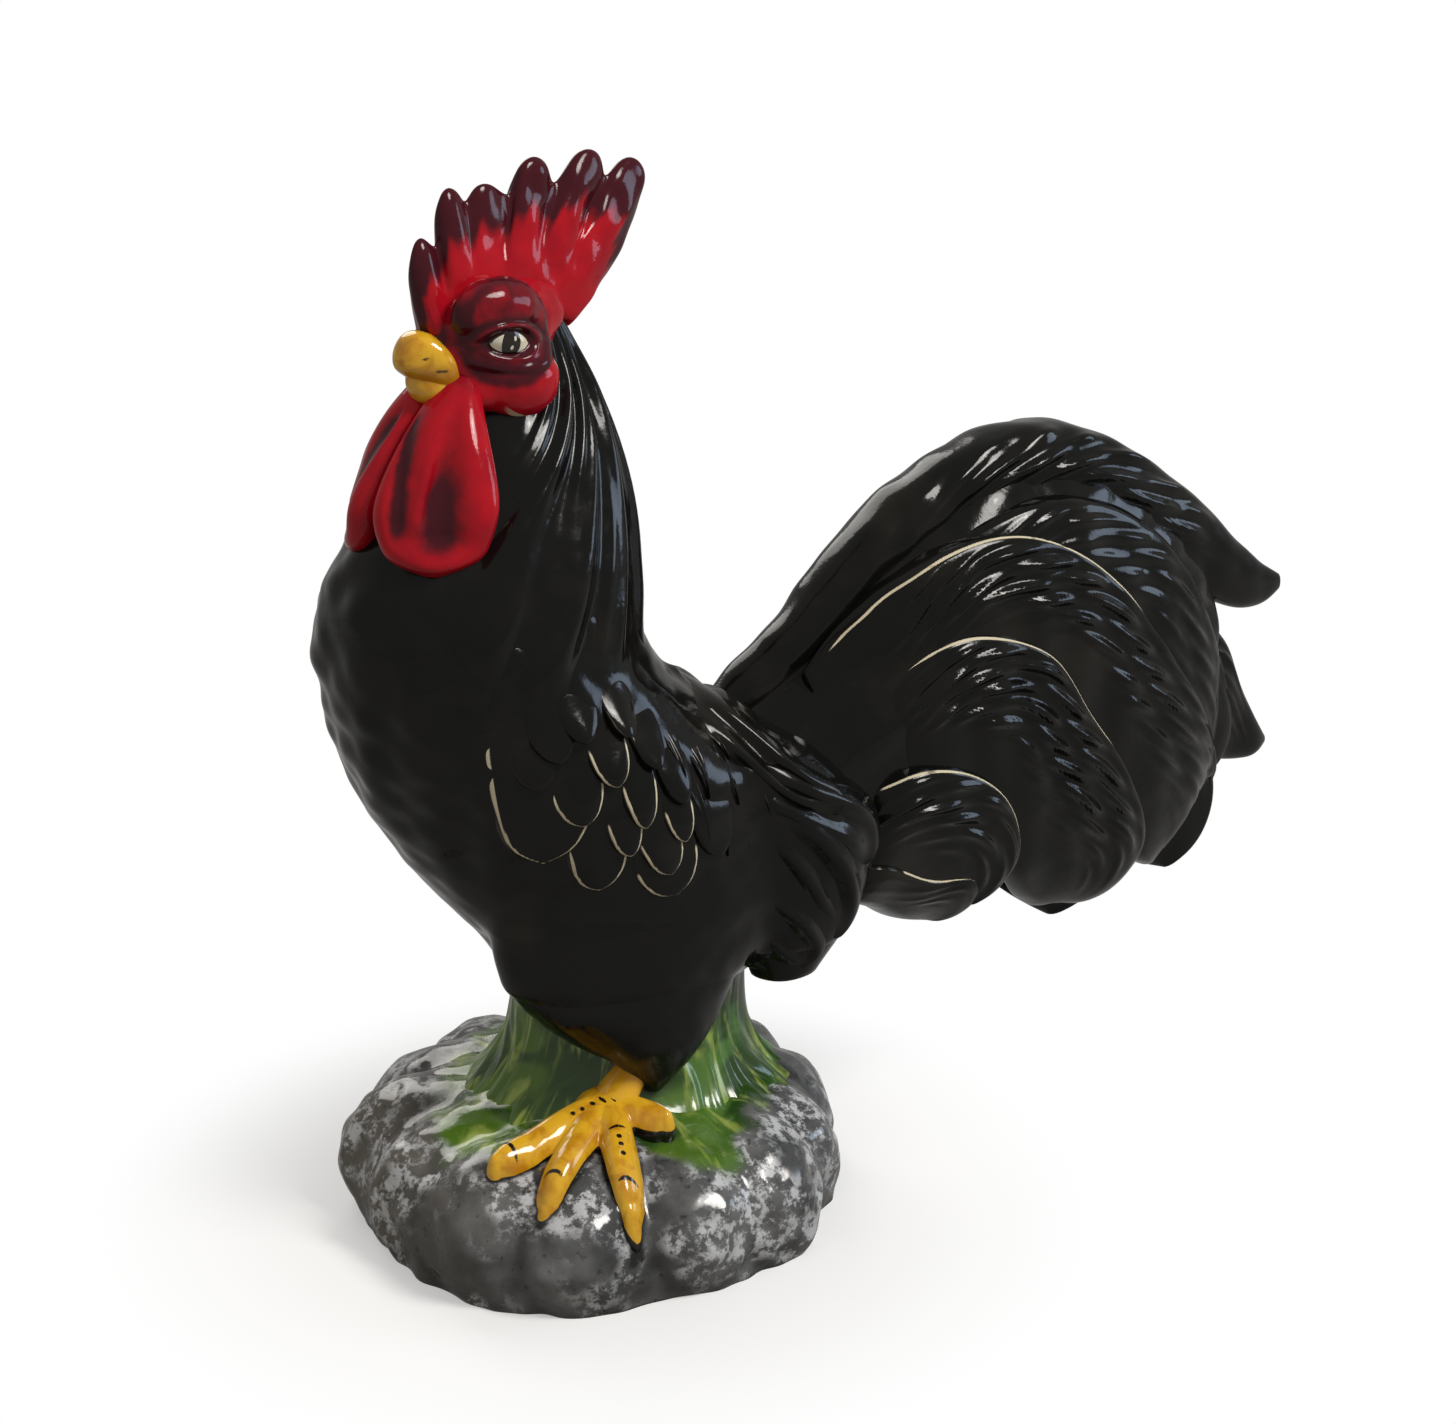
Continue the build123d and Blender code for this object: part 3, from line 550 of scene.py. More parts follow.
def leaf(root, tip, half, pointed, bend=0.0):
    """Edges of a leaf: its middle line from root to tip, bowed sideways, with its width to both sides.

    The width grows over the first half and closes at the tip as a power of the length.
    """
    step = np.linspace(0, 1, 15)[:, None]
    root, tip = np.array(root, float), np.array(tip, float)
    way = (tip - root) / np.hypot(*(tip - root))
    normal = np.array((-way[1], way[0]))
    middle = root + (tip - root) * step + normal * bend * 4 * step * (1 - step)
    close = (1 - step**1.7) ** 0.95 if pointed else (1 - step**4) ** 0.5
    width = half * (0.6 + 0.4 * smooth(0, 0.5, step)) * close
    return middle + width * normal, middle - width * normal


def scale(edges, host, relief, cream=0.0, ribs=0.0, start=0.45):
    """One short feather on the left side.

    It is a band as a long feather is, but domed across and raised towards its tip, with ribs along
    it where they are asked for. The rim mask marks a thin line round its tip, from a start along it.
    """
    step = column(0.004, 0.996, 44) ** 0.8
    angle = ring_angles(50, 0.8)[None, :]
    x, z, across, width, upper = band(edges, step, angle)
    length = np.hypot(*(upper[:, -1] - upper[:, 0]))
    held = host(x, z)
    beside = (1 - np.abs(across)) / 2 * width
    body = rounded(beside, np.minimum(1.6, width / 2)) * rounded((1 - step) * length, 1.8)
    rib = ribs * np.cos(3 * np.pi * across) * smooth(0.1, 0.4, step) * (1 - smooth(0.8, 1, step))
    dome = 0.65 + 0.5 * (1 - across**2) - 0.15 * smooth(0.75, 1, step)
    lift = relief * smooth(0.12, 0.9, step) * dome + rib - 1.5 * (1 - smooth(0, 0.3, step))
    lift = lift + 0.3 * lumps(x, held, z, 12, 61)
    level = np.maximum(held - 2.4, 0)
    y = np.where(angle <= np.pi, level + (held + lift - level) * body, level - 1.6 * body)
    gap = np.minimum(beside, (1 - step) * length * 0.9)
    line = (1 - smooth(0.2, 0.5, np.abs(gap - 1.5))) * (angle < np.pi) * smooth(start, start + 0.12, step)
    return np.stack((x, -y, z), -1), {"rim": line * cream}


def level_rings(z, angle, front, back, inner, outer):
    """Level ellipses, one at each height, between a front and a back X and an inner and an outer Y."""
    x = (front + back) / 2 + (back - front) / 2 * np.cos(angle)
    y = (inner + outer) / 2 + (outer - inner) / 2 * np.sin(angle)
    return x, y, z + 0 * x


def pushed(x, y, z, height):
    """Points of a grid moved outwards along the grid's own normals by a height."""
    grid = np.stack((x, y, z), -1)
    down = np.gradient(grid, axis=0)
    ahead = np.roll(grid, -1, 1) - np.roll(grid, 1, 1)
    normal = np.cross(down, ahead)
    normal /= np.linalg.norm(normal, axis=-1, keepdims=True) + 1e-9
    middle = grid.mean(1, keepdims=True)
    if np.einsum("ijk,ijk->", normal, grid - middle) < 0:
        normal = -normal
    return grid + normal * height[..., None]


def lean_back(set_back, z):
    """How far a set-back thigh leans at a height: nothing at its top, the whole stride at its foot."""
    return set_back * (THIGH_TOP - z) / (THIGH_TOP - THIGH_FOOT)


def passing(above):
    """How far a surface sinks where another takes over: a gentle slope, and a dip further on."""
    return 0.04 * np.clip(above, -10, 10) + 3 * smooth(9, 20, above)


def rock_shell():
    """Rock base.

    Seen from the middle of the floor, the surface lies at the soft maximum of a superellipse dome
    and of the far sides of the stones; ahead of the bird the stones melt into each other and the
    foot of the rock reaches further out. The floor is a flat disc with a dent at the drain hole. How
    far the foremost stone stands before the next gives the masks of its bulge and of the crease.
    """
    angle = circle(400)
    rise = column(0, np.pi / 2, 135)[:-1]
    way = rays(rise, angle)
    radius, top, power = DOME
    dome = ((np.cos(rise) / radius) ** power + (np.sin(rise) / top) ** power) ** (-1 / power)
    reaches = [dome + 0 * angle]
    for index in range(STONES):
        x, y, size = stone(index)
        ahead = way[0] * x + way[1] * y + way[2] * STONE_HEIGHT
        left = size**2 - (x * x + y * y + STONE_HEIGHT**2) + ahead**2
        reaches.append(np.where(left > 0, ahead + np.sqrt(np.clip(left, 0, None)), 0))
    second, first = np.sort(np.stack(reaches), 0)[-2:]
    melt = 1.1 + 2.2 * bump(angle - np.radians(212), 0.8) + 0.7 * np.sin(5 * angle) ** 2
    spread = 4.5 * bump(angle - np.radians(226), 0.36) - 2.5 * bump(angle - np.radians(330), 0.6)
    reach = soft_max(melt, *reaches) - 1.0 + spread * smooth(0.9, 0.1, rise)
    x, y, z = (reach * step for step in way)
    reach = reach + 1.0 * lumps(x, y, z, 26, 3) + 0.55 * lumps(x, y, z, 11, 4) - 1.2
    dome_rows = np.stack([reach * step for step in way], -1)
    floor = dome_rows[:1] * column(0.02, 0.985, 40)[..., None]
    from_drain = np.hypot(floor[..., 0] - DRAIN_X, floor[..., 1])
    floor[..., 2] = DRAIN_DEPTH * (1 - smooth(DRAIN_INNER, DRAIN_OUTER, from_drain))
    rows = np.concatenate((floor, dome_rows))
    stand = np.concatenate((np.zeros(floor.shape[:2]), (first - second) / np.sqrt(melt)))
    x, y, z = np.moveaxis(rows, -1, 0)
    distance = np.hypot(x, y)
    turn = np.degrees(np.arctan2(y, x)) % 360
    edge = through(PAINT_EDGE)(turn)[0] + 2.5 * lumps(x, y, z, 14, 8)
    paint = (1 - smooth(edge - 3.5, edge + 3.5, distance)) * (z > 20)
    # Ink on the rock is the painted black outline round the toes, which also serves as painted shadow next
    # to them.
    ink = 0
    for _, side, set_back in LEGS:
        spread = toe_spread(x, y * side, FOOT_HUB + (set_back, 0))
        ink = np.maximum(ink, (1 - smooth(1.06, 1.3, spread)) * (z > 15))
    brown = smooth(-35, -75, x) * smooth(-75, 10, y)
    return [(rows, {"paint": paint, "ink": ink, "brown": brown, "stroke": turn / 360, "reach": distance / 60,
                    "bulge": smooth(0.5, 5, stand), "crease": 1 - smooth(0.1, 2.2, stand)})]


def mound_shell():
    """Grass mound: level ellipses with upright flutes that wander and deepen towards the foot."""
    z = column(36, 86, 90)
    angle = circle(280)
    front, back, half = mound_at(z)
    x, y, z = level_rings(z, angle, front, back, -half, half)
    turn = angle + 0 * z
    wander = 0.35 * np.sin(3 * turn + 0.06 * z) + 0.2 * np.sin(7 * turn - 0.09 * z)
    flute = np.sin(26 * (turn + 0.3 * wander)) + 0.6 * np.sin(47 * (turn + 0.5 * wander) + 1)
    rows = pushed(x, y, z, 0.45 * flute * smooth(86, 50, z))
    return [(rows, {"paint": np.ones_like(x), "stroke": turn / TURN, "reach": (100 - z) / 60})]


def torso_shell():
    """Torso.

    On each level the outline is the soft union of the body's ellipse, the two thighs and the two
    saddles, met by rays from the middle, with the shallow dents of the hand-worked clay. It dips
    slowly under the neck's surface above the shoulder.
    """
    angle = circle(320)
    front, back, half = figure_at(column(76.5, 221, 180))
    z = column(76.5, 221, 180) + 0 * angle
    middle = (front + back) / 2 + 0 * angle

    def ellipse(x, y, ahead, behind, inner, outer):
        """About how far a point lies outside a level ellipse."""
        share = np.hypot((x - (ahead + behind) / 2) / ((behind - ahead) / 2),
                         (y - (inner + outer) / 2) / ((outer - inner) / 2))
        return (share - 1) * (outer - inner) / 2

    def within(x, y):
        """Whether points lie in the soft union of body, thighs and saddles."""
        fields = [ellipse(x, y, front, back, -half, half)]
        for _, side, set_back in LEGS:
            thigh = ellipse(x - lean_back(set_back, z), side * y, *thigh_at(z))
            thigh = thigh + 0.3 * np.clip(z - 108, 0, None)
            fields.append(thigh + 1.5 * smooth(92, 78, z))
            saddle = ellipse(x, side * y, *saddle_at(z)) + 2.5
            fields.append(saddle + 0.4 * np.clip(z - 150, 0, None) + 0.5 * np.clip(88 - z, 0, None))
        return soft_min(3.2, *fields) < 0

    way = (np.cos(angle) + 0 * z, np.sin(angle) + 0 * z)
    far = outermost(within, (middle, 0 * z), way, 110)
    x, y = middle + far * way[0], far * way[1]
    return [(pushed(x, y, z, dents(x, y, z) - passing(z - shoulder_at(x))), {})]


def neck_shell():
    """Neck with its hackle: long strands that start at the nape and sweep forward over the shoulder.

    Each strand is a smooth ridge at one place of a fan of directions that opens from the nape; two
    sets of ridges swell and fade along the way. The strands end over the shoulder, just below the
    line where the torso's surface takes over, and the neck dips slowly inside below it. In front of
    the strands the clay keeps its dents.
    """
    z = column(168, 289, 230)
    angle = circle(380)
    front, back, half = figure_at(z)
    narrow = smooth(248, 286, z)
    front, half = front + 9 * narrow, half * (1 - 0.4 * narrow)
    x, y, z = level_rings(z, angle, front, back, -half, half)
    turn = np.abs((angle + np.pi) % TURN - np.pi) + 0 * z
    fan = turn / (1 + 0.62 * smooth(280, 215, z) + 0.3 * smooth(225, 183, z))
    fan = fan + 0.035 * np.sin(z / 19 + 4 * fan)
    thick = wave(3.5 * fan + 0.1) ** 1.3 * (0.7 + 0.3 * np.sin(z / 33 + 6 * fan) ** 2)
    fine = wave(7.3 * fan + 0.35) ** 1.2 * (0.15 + 0.85 * np.sin(z / 29 - 6 * fan + 1) ** 2)
    front_edge = np.interp(z, (178, 208, 224, 240, 256), (-72, -68, -60, -45, -28))
    cape = smooth(front_edge - 6, front_edge + 16, x)
    above = z - shoulder_at(x)
    calm = smooth(-14, 8, above) * (1 - 0.8 * smooth(264, 282, z))
    worked = dents(x, y, z) * (1 - 0.85 * cape * calm) * smooth(240, 208, z)
    height = cape * calm * size_of("hackle_relief") * (thick + 0.4 * fine - 0.4) + worked
    return [(pushed(x, y, z, height - passing(-above)), {})]


def thigh_shell(side, set_back):
    """Thigh: level ellipses that lean back by the stride, sunk a little where the torso takes over.

    The dry mask marks the underside, where the glaze lies thin and dull.
    """
    z = column(50, 124, 90)
    x, y, z = level_rings(z, circle(130), *thigh_at(z))
    x, y = x + lean_back(set_back, z), side * y
    rows = pushed(x, y, z, dents(x, y, z) - 0.35 * smooth(80, 92, z) - 5 * smooth(92, 112, z))
    return [(rows, {"dry": smooth(84, 70, z)})]


def upright_rings(table, count, ring):
    """Upright superellipses along X, closer together at both ends, as a table gives them."""
    eased = (1 - np.cos(column(0, np.pi, count))) / 2
    x = table[0, 0] + (table[-1, 0] - table[0, 0]) * (0.5 * eased + 0.5 * column(0, 1, count))
    low, high, thick = through(table)(x)
    angle = circle(ring)
    aside, up = (swelled(value, 2 / 2.4) for value in (np.cos(angle), np.sin(angle)))
    return x + 0 * angle, thick * aside, (low + high) / 2 + (high - low) / 2 * up


def core_shell():
    """Tail core: upright superellipses with shallow lengthwise waves."""
    x, y, z = upright_rings(TAIL, 130, 160)
    swell = 0.5 * np.sin((z - 0.35 * x) / 3.4 + 1.5 * np.sin(x / 21)) + 0.4 * lumps(x, y, z, 26, 9)
    return [(pushed(x, y, z, swell), {})]


def sickle_shell(table, depth, start, stop):
    """Sickle feather: upright superellipses along the tail, with barbs aslant below its upper edge."""
    x, y, z = upright_rings(table, 240, 110)
    low, high, _ = through(table)(x[:, :1])
    middle, half = (low + high) / 2, (high - low) / 2
    place = (z - middle) / half
    zone = smooth(start - 14, start + 10, x) * (1 - smooth(stop - 25, stop, x)) * smooth(0.98, 0.75, place)
    height = depth * (barbs((1 - place) * half, x) - 0.35) * zone * smooth(-0.7, -0.2, place)
    height = height + 0.35 * lumps(x, y, z, 20, 15)
    return [(pushed(x, y, z, height * smooth(table[-1, 0], table[-1, 0] - 12, x)), {})]


def saddle_shells():
    """Saddle: a drop-shaped body with ribbed feathers laid over it from below upwards."""
    z = column(75, 170, 70)
    x, y, z = level_rings(z, circle(100), *saddle_at(z))
    shells = [(pushed(x, -y, z, 0.4 * lumps(x, -y, z, 18, 30) - 2.5), {})]
    depth = size_of("barb_relief")
    angle = ring_angles(90)
    across = np.cos(angle)[None, :]
    step = column(0, 1, 90)
    for upper, lower, relief in SADDLE_FEATHERS:
        rows, masks = feather((upper, lower), saddle_host, relief)
        rib = depth * (np.cos(2.6 * np.pi * across + 1.4 * np.sin(3 * step)) - 0.1) * (1 - across**4)
        rows[..., 1] -= rib * smooth(0.08, 0.4, step) * (1 - smooth(0.6, 0.9, step)) * (angle < np.pi)
        shells.append((rows, masks))
    return shells


def wing_shells():
    """Wing: long back feathers, and short cream-edged scales laid from the lowest row upwards."""
    relief = size_of("scale_relief")
    shells = []
    for root_x, root_z, tip_x, tip_z, half, rise in BACK_FEATHERS:
        edges = leaf((root_x, root_z), (tip_x, tip_z), half, True, 2.5)
        shells.append(scale(edges, saddle_host, rise * 0.8, ribs=0.3))
    for root_x, root_z, tip_x, tip_z, half, rise, cream in WING_SCALES:
        edges = leaf((root_x, root_z), (tip_x, tip_z), half, False)
        shells.append(scale(edges, side_of, rise * relief, cream, start=0.28 if half > 16 else 0.42))
    return shells


def tail_feather_shell(number):
    """One side feather of the tail; lower feathers stand higher and overlie the ones above them."""
    stand, barb_share, rim, low = TAIL_FORMS[number]
    relief = size_of("feather_relief") + stand
    depth = size_of("barb_relief") * barb_share
    return [feather(TAIL_FEATHERS[number], tail_side, relief, depth, rim, 150, 120, low, TAIL_ROLL)]


def head_point(forward, left, height):
    """Points given along the head's own directions."""
    flat = forward[..., None] * LOOK + left[..., None] * LEFT + HEAD_AXIS
    flat[..., 2] = height
    return flat


def head_inside(forward, left, height):
    """Whether points lie within the soft union of the head's lumps."""
    fields = []
    for row in HEAD_LUMPS:
        share = np.sqrt(sum(((value - row[k]) / row[k + 3]) ** 2
                            for k, value in enumerate((forward, left, height))))
        fields.append((share - 1) * row[3:].min())
    return soft_min(1.8, *fields) + 0.9 < 0


def head_shell():
    """Head: the soft union of its lumps, met by rays from its middle, with lids and bags round the eyes."""
    way = rays(column(-np.pi / 2, np.pi / 2, 160)[1:-1], circle(320))
    reach = outermost(head_inside, HEAD_MIDDLE, way, 50)
    forward, left, height = (begin + reach * step for begin, step in zip(HEAD_MIDDLE, way))
    ahead = forward - EYE_FORWARD
    ring = np.hypot(ahead / EYE_LONG, (height - EYE_HEIGHT - EYE_SLANT * ahead) / EYE_TALL)
    cheek = smooth(8, 12, np.abs(left))
    upper = smooth(-0.3, 0.5, (height - EYE_HEIGHT - EYE_SLANT * ahead) / EYE_TALL)
    lid = cheek * (upper * 0.9 * bump(ring - 1.5, 0.28) + (1 - upper) * 0.55 * bump(ring - 1.5, 0.25)
                   - 0.9 * bump(ring - 1.05, 0.22) - 0.5 * upper * bump(ring - 2.1, 0.3))
    bag = cheek * (1 - upper) * (0.5 * bump(ring - 2.3, 0.4) - 0.5 * bump(ring - 3.1, 0.35))
    patch = np.hypot(ahead / 16.8, (height - EYE_HEIGHT - 3) / 15.8)
    groove = cheek * 0.4 * bump(patch - 1.0, 0.08) * smooth(280, 290, height)
    reach = reach + lid + bag - groove + 0.15 * lumps(forward, left, height, 10, 40)
    forward, left, height = (begin + reach * step for begin, step in zip(HEAD_MIDDLE, way))
    within = 1 - smooth(0.85, 1.0, patch)
    dark = 0.48 * within + 0.5 * bump(patch - 0.97, 0.09) + 0.3 * (1 - upper) * bump(ring - 2.4, 0.55)
    dark = dark + 0.35 * bump(ring - 1.2, 0.18) + 0.35 * upper * bump(ring - 2.0, 0.25) * within
    dark = np.clip(dark * cheek + 0.6 * smooth(27, 33, forward) * smooth(276, 285, height), 0, 1)
    lobe = np.hypot((forward - 8) / np.where(forward < 8, 11.2, 12.9), (height - 271) / 10.6)
    line = (1 - smooth(0.04, 0.07, np.abs(lobe - 0.92))) * smooth(20, 14, forward) * smooth(280, 274, height)
    return [(head_point(forward, left, height), {"shade": dark, "rim": 0.8 * line * (np.abs(left) > 6)})]


def comb_shell():
    """Comb: a blade between a base line in the head and the outline of its points.

    The blade thickens towards its base. Only its upper part carries flutes: it is thick behind each
    point and thin behind each notch, and closes at the outline along a superellipse.
    """
    thick = size_of("comb_thickness") / 2
    share = np.linspace(0, 1, 400)
    outline = along(COMB)(share)
    base = along(((31, 281), (18, 284), (2, 285), (-14, 283)))(np.clip(share * 1.25 - 0.12, 0, 1))
    angle = circle(110)
    rise = ((1 - np.cos(angle)) / 2) ** 0.8
    forward, height = base[..., None] * (1 - rise) + outline[..., None] * rise
    length = np.hypot(*(outline - base))
    swell = length - np.convolve(np.pad(length, 36, "edge"), np.ones(73) / 73, "valid")
    flute = np.clip(0.5 + swell / 8, 0, 1)[:, None]
    share = share[:, None]
    ends = np.sqrt(np.clip(np.sin(np.pi * np.clip(share * 0.97 + 0.015, 0, 1)), 0, 1)) ** 0.35
    body = thick * (0.78 + 0.85 * (1 - rise) ** 1.4) * (1 - rise**5) ** 0.5 * (1 - (1 - rise) ** 14) * ends
    body = body * (1 - 0.5 * (1 - flute) * smooth(0.5, 0.82, rise))
    left = np.where(angle < np.pi, body, -body) + 0.3 * lumps(forward, 0 * forward, height, 13, 50)
    ragged = rise + 0.035 * np.sin(share * 130) + 0.03 * np.sin(share * 47 + 1)
    dark = smooth(0.56, 0.84, ragged) * (0.75 + 0.25 * flute)
    front = smooth(0.16, 0.0, share) * smooth(0.35, 0.9, rise)
    rear = smooth(0.9, 1.0, share) * smooth(0.75, 0.95, rise)
    return [(head_point(forward, left, height), {"shade": np.clip(dark + 0.5 * front + 0.4 * rear, 0, 1)})]


def beak_shell(table, hook, slit):
    """Half of the beak: upright slices along the look, fuller than ellipses, drawn to a tip.

    The ink mask marks the nostrils and, by the share of slit, the line of the gape.
    """
    share = column(0, 1, 100)
    forward = table[0, 0] + (table[-1, 0] - table[0, 0]) * (1 - (1 - share) ** 1.6)
    low, high, half = through(table)(forward)
    angle = circle(100)
    forward = forward + 0 * angle
    round_tip = np.sqrt(np.clip(1 - np.clip((share - 0.9) / 0.1, 0, 0.98) ** 2, 0, 1))
    left = half * swelled(np.cos(angle), 0.85) * round_tip
    height = (low + high) / 2 + (high - low) / 2 * swelled(np.sin(angle), 0.9) * round_tip
    height = height - hook * smooth(0.55, 1, share) ** 2
    side = np.abs(left) > 0.35 * half
    from_nostril = forward - 38.2
    nostril = bump(np.hypot(from_nostril / 1.5, 1.6 * (height - 280.4 + 0.15 * from_nostril)), 0.9) * side
    gape = bump((height - 276.6) / 0.7, 1.0) * smooth(31, 33, forward) * smooth(37, 35, forward)
    ink = np.clip(0.8 * nostril + 0.7 * slit * gape * side, 0, 1)
    pool = smooth(30, 22, forward) + 0.5 * bump((height - 275.5) / 2.4, 1.0) * side
    return [(head_point(forward, left, height), {"ink": ink, "shade": np.clip(pool, 0, 1)})]


def wattle_shell(side):
    """Wattle: level ellipses turned across the look.

    The outer face has a drop-shaped hollow that is narrow above and wide below, with a groove in
    front of it and a low ridge between the two, so that a rolled rim is left behind the hollow.
    """
    heights = column(221, 277, 120)
    angle = circle(180)
    ahead, aside, long, thick = wattle_at(heights)
    along_face, out = long * np.cos(angle), np.sin(angle)
    z = heights + 0 * angle
    face = smooth(0.05, 0.55, -out)
    width = 2.6 + 6.0 * smooth(268, 236, z)
    dish = bump((along_face - 1.5) / width, 1.0) * smooth(277, 237, z) * smooth(222.5, 233, z) * face
    groove = bump((along_face + 10.5) / 2.8, 1.0) * smooth(227, 237, z) * smooth(274, 262, z) * face
    ridge = bump((along_face + 4.5 - 0.12 * (z - 240)) / 1.9, 1.0)
    ridge = ridge * smooth(231, 239, z) * smooth(262, 250, z) * face
    out = thick * out + 6.2 * dish + 2.2 * groove - 1.6 * ridge
    forward = ahead + along_face * np.cos(WATTLE_TURN) - out * np.sin(WATTLE_TURN)
    left = aside + along_face * np.sin(WATTLE_TURN) + out * np.cos(WATTLE_TURN)
    # The shade mask is painted shade: darker in the hollow, in the groove and at the top under the head, and
    # lighter on the ridge.
    dark = np.clip(0.8 * dish**1.4 + 0.75 * groove - 0.25 * ridge + 0.35 * smooth(266, 274, z), 0, 1)
    return [(head_point(forward, side * left, z), {"shade": dark})]


def eye_shell(side):
    """Eye: an almond-shaped lens domed over the head's side.

    The ink mask marks the pupil, less two glints, and the outline.
    """
    angle = circle(110)
    share = np.concatenate((column(0.01, 1, 70), column(0.98, 0.02, 12)))
    across = share * EYE_LONG * np.cos(angle)
    up = share * EYE_TALL * swelled(np.sin(angle), 1.3)
    forward, height = EYE_FORWARD + across, EYE_HEIGHT + up + EYE_SLANT * across
    flat = np.zeros_like(forward)

    def within(ahead, left, high):
        """Whether points lie in the head, on the eye's own side."""
        return head_inside(ahead, side * left, high)

    ground = outermost(within, (forward, flat, height), (flat, flat + 1, flat), 40)
    front = np.arange(len(share))[:, None] < 70
    left = np.where(front, ground + 1.15 * (1 - share**2) - 0.35, ground - 3)
    pupil = 1 - smooth(2.85, 3.1, np.hypot(across - 0.1, up * 0.7))
    glint = 1 - smooth(0.6, 0.95, np.hypot((across + 1.0) / 0.55, (up - 1.2) / 1.0))
    glint = np.maximum(glint, 1 - smooth(0.6, 0.95, np.hypot((across + 0.1) / 0.6, (up + 1.5) / 0.9)))
    outline = smooth(0.84, 0.92, share) * smooth(-0.35, 0.1, np.sin(angle)) + smooth(0.96, 0.99, share)
    ink = np.clip(np.maximum(pupil * (1 - glint), outline), 0, 1)
    return [(head_point(forward, side * left, height), {"ink": ink})]


def toe_marks(x, y, hub):
    """Painted dots, bars and bowed claw lines on the toes, as a mask over the plan."""
    ink = 0 * x
    for toe, place, aside, long, wide in TOE_DOTS:
        length = np.hypot(*TOE_WAYS[toe])
        line = TOE_WAYS[toe] / length
        ahead = (x - hub[0]) * line[0] + (y - hub[1]) * line[1] - place * length
        across = (x - hub[0]) * line[1] - (y - hub[1]) * line[0] - aside
        bow = ahead - (0.05 * across**2 if wide > 2.5 else 0)
        ink = np.maximum(ink, 1 - smooth(0.75, 1.15, np.hypot(bow / long, across / wide)))
    return ink


def foot_shells(side, set_back):
    """Foot: seen from above, the region within one half width of the toes' middle lines.

    Its height over the rock, which is averaged over a few places round each point, is a half ellipse
    across each toe. The set-back foot stands on a slope, so it also leans along the rock's normal.
    A leaning tapered tube is the shank.
    """
    hub = FOOT_HUB + (set_back, 0)
    even = circle(440)[0]
    toes = np.arctan2(TOE_WAYS[:, 1], TOE_WAYS[:, 0])
    near = sum(bump((even - toe + np.pi) % TURN - np.pi, 0.12) for toe in toes) + 0.35
    crowded = np.append(0, np.cumsum(near)) * TURN / near.sum()
    angle = np.interp(even, crowded, np.append(even, TURN))[None, :]
    way = (np.cos(angle), np.sin(angle))
    far = outermost(lambda x, y: toe_spread(x, y, hub) < 1, hub, way, 64)
    share = np.concatenate((np.sin(column(0.02, np.pi / 2, 110)), column(0.99, 0.03, 14)))
    x, y = hub[0] + share * far * way[0], hub[1] + share * far * way[1]
    spread = toe_spread(x, y, hub)
    top = np.arange(len(share))[:, None] < 110
    thick = np.where(top, 0.2 + 6.2 * np.sqrt(np.clip(1 - np.clip(spread, 0, 1) ** 2.2, 0, 1)), -3)
    z = sum(rock_height(x + a, side * (y + b)) for a, b in AROUND) / len(AROUND) + thick
    ink = np.where(top, np.maximum(toe_marks(x, y, hub), smooth(0.97, 0.995, spread)), 1.0)
    slope_x, slope_y = (
        (rock_height(x + a, side * (y + b)) - rock_height(x - a, side * (y - b))) / (2 * SLOPE_SPAN)
        for a, b in ((SLOPE_SPAN, 0), (0, SLOPE_SPAN)))
    lean = (FOOT_LEAN if set_back else 0.0) * thick / np.sqrt(1 + slope_x**2 + slope_y**2)
    z = z - np.abs(lean) * 0.3 * np.hypot(slope_x, slope_y)
    foot = np.stack((x - lean * slope_x, side * (y - lean * slope_y), z), -1)
    rise = column(0, 1, 40)
    turn = circle(60)
    radius = 8.6 - 3.0 * rise**0.7
    ground = rock_height(hub[0], side * hub[1]) + 1
    leg = np.stack((hub[0] + (SHANK_X + set_back - hub[0]) * rise + radius * np.cos(turn),
                    side * (hub[1] + (SHANK_Y - hub[1]) * rise + radius * np.sin(turn)),
                    ground * (1 - rise) + SHANK_TOP * rise + 0 * turn), -1)
    return [(foot, {"ink": ink}), (leg, {"shade": smooth(52, 58, leg[..., 2])})]


def fill(tree, socket, value):
    """Links a socket to another one, or sets it to a constant."""
    if isinstance(value, bpy.types.NodeSocket):
        tree.links.new(value, socket)
    else:
        socket.default_value = value


def add(tree, kind, inputs=None, **settings):
    """Adds a node, sets its own settings and fills its inputs with values or links."""
    made = tree.nodes.new(kind)
    for key, value in settings.items():
        setattr(made, key, value)
    for key, value in (inputs or {}).items():
        fill(tree, made.inputs[key], value)
    return made


def attribute(tree, name):
    """Value of one of the piece's own masks."""
    return add(tree, "ShaderNodeAttribute", attribute_name=name).outputs["Fac"]


def noise(tree, vector, size, detail=3.0, rough=0.5, warp=0.0):
    """Noise whose features are about one size, in metres."""
    given = {"Vector": vector, "Scale": 1 / size, "Detail": detail, "Roughness": rough, "Distortion": warp}
    return add(tree, "ShaderNodeTexNoise", given).outputs["Fac"]


def ramp(tree, value, low, high, start=0.0, end=1.0):
    """Value carried from one span to another, held at both ends."""
    span = {"Value": value, "From Min": low, "From Max": high, "To Min": start, "To Max": end}
    return add(tree, "ShaderNodeMapRange", span, interpolation_type="SMOOTHSTEP").outputs["Result"]


def gloss(tree, value, low, high):
    """Roughness between a low and a high value, carried by a noise."""
    return ramp(tree, value, 0.3, 0.7, low, high)


def mixed(tree, share, first, second):
    """Two colours mixed by a share."""
    made = add(tree, "ShaderNodeMix", {"Factor": share}, data_type="RGBA")
    sockets = [socket for socket in made.inputs if socket.type == "RGBA"]
    for socket, value in zip(sockets, (first, second)):
        fill(tree, socket, value)
    return next(socket for socket in made.outputs if socket.type == "RGBA")


